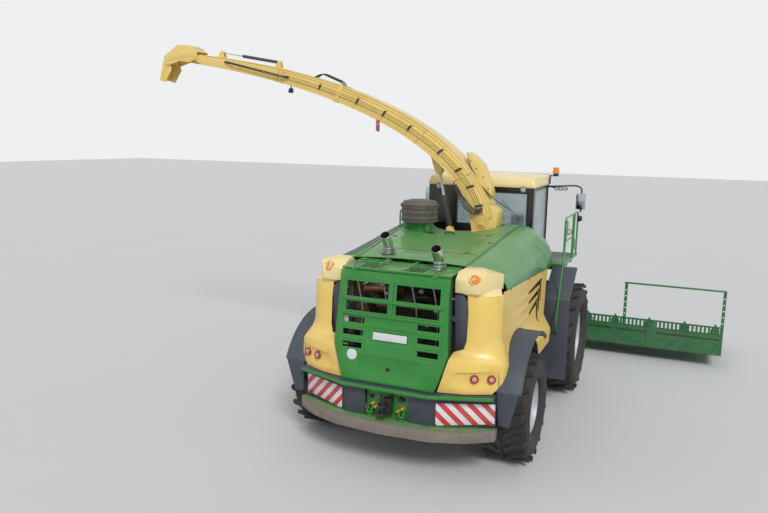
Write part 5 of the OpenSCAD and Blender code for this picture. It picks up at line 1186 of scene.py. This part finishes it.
spoutSettings = {
    "outer": [(-540, 3120), (-420, 4450), (1500, 5750), (5730, 6260)],
    "inner": [(-140, 3110), (-50, 4200), (1600, 5400), (5730, 6070)],
    "footWidth": 430, "tipWidth": 330, "slew": -1150,
    "pipes": (0.36, 0.46, 0.56),
    "clamps": (0.11, 0.20, 0.28, 0.37, 0.49, 0.57, 0.645, 0.74),
    "clampShares": (0.29, 0.63, 0.46),  # both ends and the bolt
    "clampBolt": [(0, 30), (13, 30), (13, 38), (8, 42), (0, 42)],
    "rails": [(0.02, 0.07, 0.99), (0.97, 0.07, 0.99), (0.16, 0.07, 0.83)],  # share, first t, last t
    "joints": (0.25, 0.45, 0.65, 0.828, 0.838),
    "rivetRows": (0.08, 0.91),
    # back along the arm and up
    "humpSeam": [(20, 4440), (-60, 4200), (-250, 3900), (-455, 3700)],
    "humpStuds": [(-395, 3820), (-300, 4020), (-170, 4160), (-60, 4290)],
    "humpStudForm": [(0, -1), (12, -1), (12, 4), (7, 7), (0, 7)],
    "cylinder": ((0.848, -0.42), (0.965, -0.50)),
    "brackets": ((0.848, -0.50), (0.965, -0.62)),
    "capScrews": (0.822, 0.845, 0.86), "capScrewForm": [(0, -2), (17, -2), (17, 12), (11, 20), (0, 20)],
    "camera": (0.815, 1.0),
    "lensForm": [(0, 0), (22, 0), (24, 12), (20, 24), (14, 24), (12, 16), (0, 14)],
    "tag": (0.575, 0.93), "tagForm": [(0, -14), (30, -14), (37, 0), (30, 14), (0, 14)],
    "flapRibs": [(5880, 6402), (6160, 6460), (6420, 6396)],
    "flapSweep": [(5815, 6195), (6020, 6125), (6240, 6165), (6550, 6078), (6628, 6118)],
}


def cubic(c, t):
    return Vector([(1 - t) ** 3 * a + 3 * t * (1 - t) ** 2 * b + 3 * t * t * (1 - t) * d + t ** 3 * e
                   for a, b, d, e in zip(*c)])


def spoutPoint(t, share, out, side=-1):
    # out is the distance off the side's face
    s = spoutSettings
    o, i = cubic(s["outer"], t), cubic(s["inner"], t)
    p = o + (i - o) * share
    w = (s["footWidth"] + (s["tipWidth"] - s["footWidth"]) * max(0, t - 0.05) / 0.95) / 2
    return Vector((-p.x, s["slew"] + side * (w + out), p.y))


def spoutAcross(t, share):
    return (spoutPoint(t, share, 0, -1) + spoutPoint(t, share, 0, 1)) / 2


def besideArm(u, across, z):
    return Vector((-u, spoutSettings["slew"] + across, z))


def addSpoutRuns(s):
    bm = bmesh.new()
    for side in (-1, 1):
        for share in s["pipes"]:
            tubeInto(bm, [spoutPoint(0.07 + 0.0188 * k, share, 16, side) for k in range(41)], 12, 8)
    formPiece("spoutPipes", bm, "spout_arm", "spoutYellow")
    bm = bmesh.new()
    for side in (-1, 1):
        for t in s["clamps"]:
            a, b, c = (spoutPoint(t, share, 0, side) for share in s["clampShares"])
            behind, beyond = (spoutPoint(t + step, s["clampShares"][2], 0, side) for step in (-0.004, 0.004))
            way = (beyond - behind).normalized() * 22
            plateInto(bm, [a - way, b - way, b + way, a + way], (0, side * 30, 0), 4)
            turnedInto(bm, s["clampBolt"], c, (0, side, 0), 6)
    formPiece("spoutClamps", bm, "spout_arm", "framePaint")
    # rails along the edges
    bm = bmesh.new()
    for side in (-1, 1):
        for share, first, last in s["rails"]:
            ts = [first + (last - first) * k / 44 for k in range(45)]
            tubeInto(bm, [spoutPoint(t, share, 2, side) for t in ts], 9, 6)
    # panel joints round the arm
    for t in s["joints"]:
        ring = [spoutPoint(t, share, 6, side) for share, side in ((0, -1), (1, -1), (1, 1), (0, 1))]
        middle = spoutAcross(t, 0.5)
        outlineInto(bm, [p + (p - middle).normalized() * 5 for p in ring], 8)
    formPiece("spoutRails", bm, "spout_arm", "spoutYellow")
    places = []
    for side in (-1, 1):
        for share in s["rivetRows"]:
            places += [(spoutPoint(0.08 + 0.037 * k, share, 0, side), (0, side, 0)) for k in range(25)]
    rivets = {"item": "rivet", "size": 1.0, "spread": 0.1, "finish": "spoutYellow"}
    repeatPiece("spoutRivets", places, rivets, "spout_arm")
    # worn strip along the top
    bm = bmesh.new()
    rows = []
    for k in range(52):
        t = 0.16 + 0.016 * k
        o, i = cubic(s["outer"], t), cubic(s["inner"], t)
        n = (o - i).normalized()
        w = (spoutPoint(t, 0, 0, 1) - spoutPoint(t, 0, 0, -1)).length / 2 - 18
        rows.append([besideArm(o.x + 2.5 * n.x, w * f, o.y + 2.5 * n.y) for f in (-1, -0.5, 0, 0.5, 1)])
    sheetInto(bm, rows, 2)
    formPiece("spoutTopStrip", bm, "spout_arm", "spoutYellow")
    # seam and studs of the hump
    bm = bmesh.new()
    for side in (-1, 1):
        tubeInto(bm, [besideArm(u, side * 161, z) for u, z in s["humpSeam"]], 4, 6)
        places = [besideArm(u, side * 160, z) for u, z in s["humpStuds"]]
        studsInto(bm, s["humpStudForm"], places, (0, side, 0), 8)
    formPiece("humpSeam", bm, "spout_arm", "blackPlastic")


def addSpoutHoses():
    # at the foot, over the middle and under the first flap's joint
    bm = bmesh.new()
    for k in range(4):
        a, b = spoutPoint(0.10, 0.34 + 0.08 * k, 26), spoutPoint(0.20 + 0.015 * k, 0.95, 30)
        sag = Vector((30 - 12 * k, -60 - 14 * k, -150 - 20 * k))
        tubeInto(bm, easedRoute([a, a + sag * 0.6, (a + b) / 2 + sag, b + sag * 0.3, b], 90, 6), 11, 8)
    for k in range(3):
        y = Vector((0, -70 + 60 * k, 0))
        a, b = spoutAcross(0.695, -0.02) + y, spoutAcross(0.765, -0.02) + y
        route = [a, a + Vector((-50, 0, 70 + 12 * k)), b + Vector((150, 0, 64 + 8 * k)), b]
        tubeInto(bm, easedRoute(route, 80, 6), 9, 8)
    for k in range(2):
        a, b = spoutPoint(0.81, 0.40 + 0.1 * k, 16), spoutPoint(0.95, 0.30 + 0.1 * k, 14)
        route = [a, a + Vector((-120, -50, 10)), b + Vector((160, -46, -30)), b]
        tubeInto(bm, easedRoute(route, 90, 6), 10, 8)
    formPiece("spoutHoses", bm, "spout_arm", "hose")


def addFlapCylinder(s):
    a, b = (spoutAcross(*place) for place in s["cylinder"])
    way, length = (b - a).normalized(), (b - a).length
    bm = bmesh.new()
    barrel = [(0, 0), (20, 0), (30, 8), (30, length * 0.62), (24, length * 0.64), (0, length * 0.64)]
    turnedInto(bm, barrel, a, way, 20)
    formPiece("flapCylinder", bm, "spout_arm", "framePaint")
    bm = bmesh.new()
    rod = [(0, length * 0.60), (12, length * 0.60), (12, length - 20), (26, length - 16), (26, length + 16),
           (0, length + 18)]
    turnedInto(bm, rod, a, way, 16)
    formPiece("flapRod", bm, "spout_arm", "chrome")
    bm = bmesh.new()
    for t, share in s["brackets"]:
        p, q, r = spoutAcross(t - 0.007, -0.01), spoutAcross(t + 0.007, -0.01), spoutAcross(t, share)
        for y in (-44, 34):
            corners = [p + Vector((0, y, 0)), q + Vector((0, y, 0)), r + Vector((-26, y, 8)),
                       r + Vector((26, y, 8))]
            plateInto(bm, corners, (0, 10, 0), 2)
    for side in (-1, 1):
        places = [spoutPoint(t, 0.5, 4, side) for t in s["capScrews"]]
        studsInto(bm, s["capScrewForm"], places, (0, side, 0), 12)
    formPiece("flapBrackets", bm, "spout_arm", "spoutYellow")


def addSpoutFittings(s):
    # small camera under the arm on its bracket
    bm = bmesh.new()
    p = spoutAcross(*s["camera"])
    blockInto(bm, p + Vector((-34, -34, -150)), p + Vector((34, 34, -60)), 8)
    tubeInto(bm, [p + Vector((0, 0, -66)), p + Vector((0, 0, 6))], 12, 8)
    turnedInto(bm, s["lensForm"], p + Vector((-34, 0, -112)), (-1, 0, -0.4), 20)
    formPiece("spoutCamera", bm, "spout_arm", "blackPlastic")
    bm = bmesh.new()
    p = spoutPoint(*s["tag"], 20)
    places = [p + Vector((10 * (k % 2), -6, -20 - 26 * k)) for k in range(8)]
    studsInto(bm, s["tagForm"], places, (0.2, 0, 1), 12)
    formPiece("redTag", bm, "spout_arm", "red")
    # ribs of the upper flap
    bm = bmesh.new()
    for u, z in s["flapRibs"]:
        tubeInto(bm, [besideArm(u, -170, z), besideArm(u, 170, z)], 7, 6)
    for side in (-1, 1):
        tubeInto(bm, easedRoute([besideArm(u, side * 179, z) for u, z in s["flapSweep"]], 30), 4.5, 6)
    formPiece("upperFlapRibs", bm, "spout_flap_upper", "spoutYellow")


addSpoutRuns(spoutSettings)
addSpoutHoses()
addFlapCylinder(spoutSettings)
addSpoutFittings(spoutSettings)
print("stage: spout")

# Cab: wiper, window seals, roof seam, work lamps, lamp bar, wheel spokes, grip strips, seat seams

cabSettings = {
    "wiperArm": [(170, -424, 3655), (170, -446, 3640), (560, -446, 3400), (600, -438, 3385)],
    "wiperBlade": [(420, -441, 3560), (760, -441, 3250)],
    "wiperFoot": (170, -420, 3655), "wiperFootForm": [(0, 0), (34, 0), (34, 14), (24, 22), (0, 22)],
    "rearSeal": [(-450, 3080), (900, 3080), (900, 3700), (-450, 3700)],  # across, up
    "rightSeal": [(-262, 2520), (940, 2520), (940, 3736), (-262, 3736)],  # along, up
    "roofPlan": [(-1010, -410), (1010, -410), (1010, 940), (620, 1420), (0, 1590), (-620, 1420),
                 (-1010, 940)],
    "rearLamps": (-820, 820), "frontLamps": (-560, -200, 200, 560),
    "railLamps": [((1650, -209, 3020), (0.25, -1, -0.15)), ((1660, 1010, 3150), (0.6, 1, -0.2))],
    "housingForm": [(0, -46), (24, -46), (40, -34), (58, -8), (60, 6), (54, 8), (50, 2), (0, 2)],
    "lensForm": [(0, 1), (51, 1), (50, 5), (30, 9), (0, 11)],
    "bar": ((1130, 1012, 3700), (1380, 1060, 3752)),
    "barArm": [(1030, 930, 3768), (1120, 1030, 3740), (1180, 1036, 3728)],
    "barLamps": [(1175, 1014, 3726), (1255, 1014, 3726), (1335, 1014, 3726)],
    "barHousingForm": [(0, 0), (34, 0), (40, 14), (40, 36), (36, 40), (0, 40)],
    "barLensForm": [(0, 38), (35, 38), (34, 43), (18, 46), (0, 47)],
    "wheel": (0, 735, 3085), "wheelTilt": 15, "spokes": (90, 210, 330), "spokeLength": 196,
    "wheelHubForm": [(0, -16), (46, -16), (50, 0), (40, 14), (0, 18)],
    "cushionSeam": [(90, 2812), (450, 2872), (455, 2800)], "backSeam": [(16, 2880), (-66, 3400)],  # along, up
}


def addCabDetails(s):
    bm = bmesh.new()
    tubeInto(bm, easedRoute(s["wiperArm"], 20), 7, 8)
    tubeInto(bm, s["wiperBlade"], 6, 6)
    turnedInto(bm, s["wiperFootForm"], s["wiperFoot"], (0, -1, 0), 20)
    outlineInto(bm, [(x, -421, z) for x, z in s["rearSeal"]], 9, 8)
    outlineInto(bm, [(998, y, z) for y, z in s["rightSeal"]], 8, 8)
    formPiece("cabSeals", bm, "cab_frame", "blackPlastic")
    bm = bmesh.new()
    plan = s["roofPlan"]
    tubeInto(bm, easedRoute([(x * 0.80, y * 0.80 + 80, 3996) for x, y in plan + plan[:1]], 120, 5), 5, 6)
    formPiece("roofSeam", bm, "cab_roof", "moulded")
    # work lamps under the roof's edge and on the rails
    housings, lenses = bmesh.new(), bmesh.new()
    lamps = [((x, -436, 3772), (0, -1, -0.25)) for x in s["rearLamps"]]
    lamps += [((x, 1500 - 0.00028 * x * x, 3770), (x / 2600, 1, -0.2)) for x in s["frontLamps"]]
    for p, way in lamps + s["railLamps"]:
        turnedInto(housings, s["housingForm"], p, way, 24)
        turnedInto(lenses, s["lensForm"], p, way, 24)
        foot = Vector(p) - Vector(way) * 30
        tubeInto(housings, [foot, foot + Vector((0, 0, 46))], 9, 8)
    formPiece("workLampHousings", housings, "console", "blackPlastic")
    formPiece("workLampLenses", lenses, "console", "clearLens")
    # lamp bar beside the right mirror's arm
    bm = bmesh.new()
    blockInto(bm, *s["bar"], 8)
    tubeInto(bm, easedRoute(s["barArm"], 40), 14, 8)
    studsInto(bm, s["barHousingForm"], s["barLamps"], (0, -1, -0.1), 20)
    formPiece("sideLampBar", bm, "console", "blackPlastic")
    bm = bmesh.new()
    studsInto(bm, s["barLensForm"], s["barLamps"], (0, -1, -0.1), 20)
    formPiece("sideLampLenses", bm, "console", "clearLens")


def addCabInside(s):
    bm = bmesh.new()
    tilt = math.radians(s["wheelTilt"])
    up = Vector((0, -math.sin(tilt), math.cos(tilt)))
    ahead = Vector((0, math.cos(tilt), math.sin(tilt)))
    middle = Vector(s["wheel"]) + up * 2
    for a in (math.radians(spoke) for spoke in s["spokes"]):
        end = middle + s["spokeLength"] * (math.cos(a) * Vector((1, 0, 0)) + math.sin(a) * ahead)
        tubeInto(bm, [middle, end], 9, 8)
    turnedInto(bm, s["wheelHubForm"], middle, up, 24)
    formPiece("wheelSpokes", bm, "console", "blackPlastic")


gripSettings = {
    "walkway": (1050, 1610), "walkwayTop": 2439, "walkwayRows": (-400, 1040, 60),  # first y, end, step
    "tread": (-1590, -1190), "treads": (620, 2540, 320), "treadTop": 25,  # first height, end, step
    "rowPitch": 32, "thickness": 5,
}


def addGripStrips(s):
    # on the walkways and on the treads of the ladder, which leans back
    bm = bmesh.new()
    foot, thickness = s["walkwayTop"], s["thickness"]
    for side in (-1, 1):
        x0, x1 = sorted(side * x for x in s["walkway"])
        for y in range(*s["walkwayRows"]):
            blockInto(bm, (x0, y, foot), (x1, y + 16, foot + thickness), 1.2)
    x0, x1 = s["tread"]
    for z in range(*s["treads"]):
        first, foot = 1330 - 200 * (z - 560) / 1880 - 50, z + s["treadTop"]
        for y in (first + s["rowPitch"] * j for j in range(4)):
            blockInto(bm, (x0, y, foot), (x1, y + 12, foot + thickness), 1.2)
    formPiece("gripStrips", bm, "platforms", "steel")


def addSeatSeams(s):
    bm = bmesh.new()
    for x in (-150, 150):
        tubeInto(bm, easedRoute([(x, y, z) for y, z in s["cushionSeam"]], 30), 4, 6)
        tubeInto(bm, [(x * 0.95, y, z) for y, z in s["backSeam"]], 4, 6)
    formPiece("seatSeams", bm, "driver_seat", "cloth")


addCabDetails(cabSettings)
addCabInside(cabSettings)
addGripStrips(gripSettings)
addSeatSeams(cabSettings)
print("stage: cab")

# Header: rivets on the backs, tubes along the edges, studs on the chains

headerSettings = {
    # node, its chain, its left end, its right end
    "sections": [("header_wing_right", "chain_right", 1520, 4480),
                 ("header_wing_left", "chain_left", -4480, -1520),
                 ("header_middle", "chain_middle", -1480, 1480)],
    "rivetPitch": 120, "rivetRows": (330, 690), "rivetFace": 2478,
    "edges": [(716, 12), (900, 9), (520, 7), (306, 9)], "edgeFace": 2479,  # height, radius
    "studPitch": 75,
}


def addHeaderDetails(s):
    for node, chain, low, high in s["sections"]:
        pitch = s["rivetPitch"]
        across = [low + 60 + pitch * k for k in range(int((high - low) / pitch))]
        places = [((x, s["rivetFace"], z), (0, -1, 0)) for x in across for z in s["rivetRows"]]
        repeatPiece(node + "Rivets", places, {"item": "rivet", "size": 1.2, "finish": "steel"}, node)
        bm = bmesh.new()
        for z, r in s["edges"]:
            tubeInto(bm, [(low, s["edgeFace"], z), (high, s["edgeFace"], z)], r, 8)
        formPiece(node + "Edges", bm, node, "headerGreen")
        lowCorner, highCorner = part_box(chain)
        y, z = (lowCorner[1] - shift.y) * 1000 + 12, (highCorner[2] - shift.z) * 1000 - 14
        x0, x1 = ((c[0] - shift.x) * 1000 for c in (lowCorner, highCorner))
        pitch = s["studPitch"]
        places = [((x0 + 30 + pitch * k, y, z), (0, -0.2, 1)) for k in range(int((x1 - x0 - 60) / pitch) + 1)]
        repeatPiece(chain + "Studs", places, {"item": "rivet", "size": 1.6, "finish": "steel"}, chain)


addHeaderDetails(headerSettings)
print("stage: header")

# Stiffener posts, pressed grooves and strut plates on the wings' backs

wingSettings = {
    "post": (3010, 3110),
    "strut": [(3010, 330), (2300, 560), (2300, 640), (3010, 470)],
    "postBolts": [(3060, 360), (3060, 470), (3060, 700), (3060, 790)],
    "strutBolts": [(2860, 420), (2500, 555)],
    "boltForm": [(0, -2), (17, -2), (17, 3), (11, 11), (0, 11)],
    "grooves": (742, 640, 618), "grooveEnds": (1560, 4440),
}


def addWingDetails(body, side, s):
    bm = bmesh.new()
    low, high = sorted(side * x for x in s["post"])
    blockInto(bm, (low, 2462, 300), (high, 2480, 830), 3)
    plateInto(bm, [(side * x, 2474, z) for x, z in s["strut"]], (0, 5, 0), 2)
    for face, bolts in ((2463, s["postBolts"]), (2474, s["strutBolts"])):
        studsInto(bm, s["boltForm"], [(side * x, face, z) for x, z in bolts], (0, -1, 0), 6)
    formPiece(body + "Post", bm, body, "headerGreen")
    # pressed grooves drawn as near-black lines: painted shade in the creases
    bm = bmesh.new()
    low, high = sorted(side * x for x in s["grooveEnds"])
    for z in s["grooves"]:
        tubeInto(bm, [(low, 2480, z), (high, 2480, z)], 5, 6)
    formPiece(body + "Grooves", bm, body, "sootAndPaintedShade")


for body, side in (("header_wing_right", 1), ("header_wing_left", -1)):
    addWingDetails(body, side, wingSettings)

# Skirts between the lamp pods and the corners under them

skirtSettings = {
    "bend": (1085, -4130, 252), "foot": 2584, "end": (1012, -4384, 2584),
    "edge": [(1388, -4050, 2664), (1330, -4170, 2662), (1262, -4294, 2660), (1176, -4422, 2642),
             (900, -4424, 2636)],
}


def addPodSkirts(s):
    bm = bmesh.new()
    x, y, depth = s["bend"]
    width = flankPoint(-4120, 2588, -12).x - x
    angles = [math.radians(11.25 * k) for k in range(9)]
    low = [Vector((x + width * math.cos(a), y - depth * math.sin(a), s["foot"])) for a in angles]
    low.append(Vector(s["end"]))
    edge = [Vector(p) for p in s["edge"]]
    high = []
    for k in range(len(low)):
        t = k / (len(low) - 1) * (len(edge) - 1)
        i = min(int(t), len(edge) - 2)
        high.append(edge[i] + (edge[i + 1] - edge[i]) * (t - i))
    rows = [low, [a + (b - a) * 0.5 + Vector((0, 0, -4)) for a, b in zip(low, high)], high]
    for side in (1, -1):
        sheetInto(bm, [[onSide(side, p) for p in row] for row in rows[::side]], 5)
    formPiece("podSkirts", bm, "lamp_pods", "moulded")


addPodSkirts(skirtSettings)
print("stage: wings and pod skirts")

for item in items.values():
    bpy.data.objects.remove(item)

# Floor and light

stageSettings = {
    "floor": (0.60, 0.60, 0.59), "floorReach": 90,
    "world": (0.90, 0.93, 1.0), "worldStrength": 0.55, "backdrop": (0.86, 0.87, 0.88),
    # name, strength, angle and turn in degrees
    "suns": [("keySun", 2.0, 18, (48, 0, 35)), ("fillSun", 0.35, 60, (60, 0, -60))],
}


def addStage(s):
    mesh = bpy.data.meshes.new("floor")
    r = s["floorReach"]
    mesh.from_pydata([(-r, -r, 0), (r, -r, 0), (r, r, 0), (-r, r, 0)], [], [(0, 1, 2, 3)])
    floor = bpy.data.objects.new("floor", mesh)
    scene.collection.objects.link(floor)
    material, shader = newMaterial("floorPaint")
    place = objectPlace(material)
    tone = mixColour(material, noiseOf(material, 0.5, 3, 0.5, place), s["floor"],
                     tuple(0.97 * c for c in s["floor"]))
    join(material, tone, shader.inputs["Base Color"])
    shader.inputs["Roughness"].default_value = 0.9
    mesh.materials.append(material)
    world = bpy.data.worlds.new("world")
    scene.world = world
    world.use_nodes = True
    nodes, links = world.node_tree.nodes, world.node_tree.links
    plain = nodes["Background"]
    plain.inputs["Color"].default_value = (*s["world"], 1)
    plain.inputs["Strength"].default_value = s["worldStrength"]
    pale = nodes.new("ShaderNodeBackground")
    pale.inputs["Color"].default_value = (*s["backdrop"], 1)
    pale.inputs["Strength"].default_value = 1.0
    rays = nodes.new("ShaderNodeLightPath")
    either = nodes.new("ShaderNodeMath")
    either.operation = "MAXIMUM"
    links.new(rays.outputs["Is Camera Ray"], either.inputs[0])
    links.new(rays.outputs["Is Transmission Ray"], either.inputs[1])
    both = nodes.new("ShaderNodeMath")
    both.operation = "MAXIMUM"
    links.new(either.outputs[0], both.inputs[0])
    links.new(rays.outputs["Is Glossy Ray"], both.inputs[1])
    mix = nodes.new("ShaderNodeMixShader")
    links.new(both.outputs[0], mix.inputs[0])
    links.new(plain.outputs[0], mix.inputs[1])
    links.new(pale.outputs[0], mix.inputs[2])
    links.new(mix.outputs[0], nodes["World Output"].inputs["Surface"])
    for name, strength, angle, turn in s["suns"]:
        data = bpy.data.lights.new(name, "SUN")
        data.energy = strength
        data.angle = math.radians(angle)
        lamp = bpy.data.objects.new(name, data)
        lamp.rotation_euler = [math.radians(a) for a in turn]
        scene.collection.objects.link(lamp)


addStage(stageSettings)
scene.view_settings.view_transform = "Standard"
print("stage: floor and light")
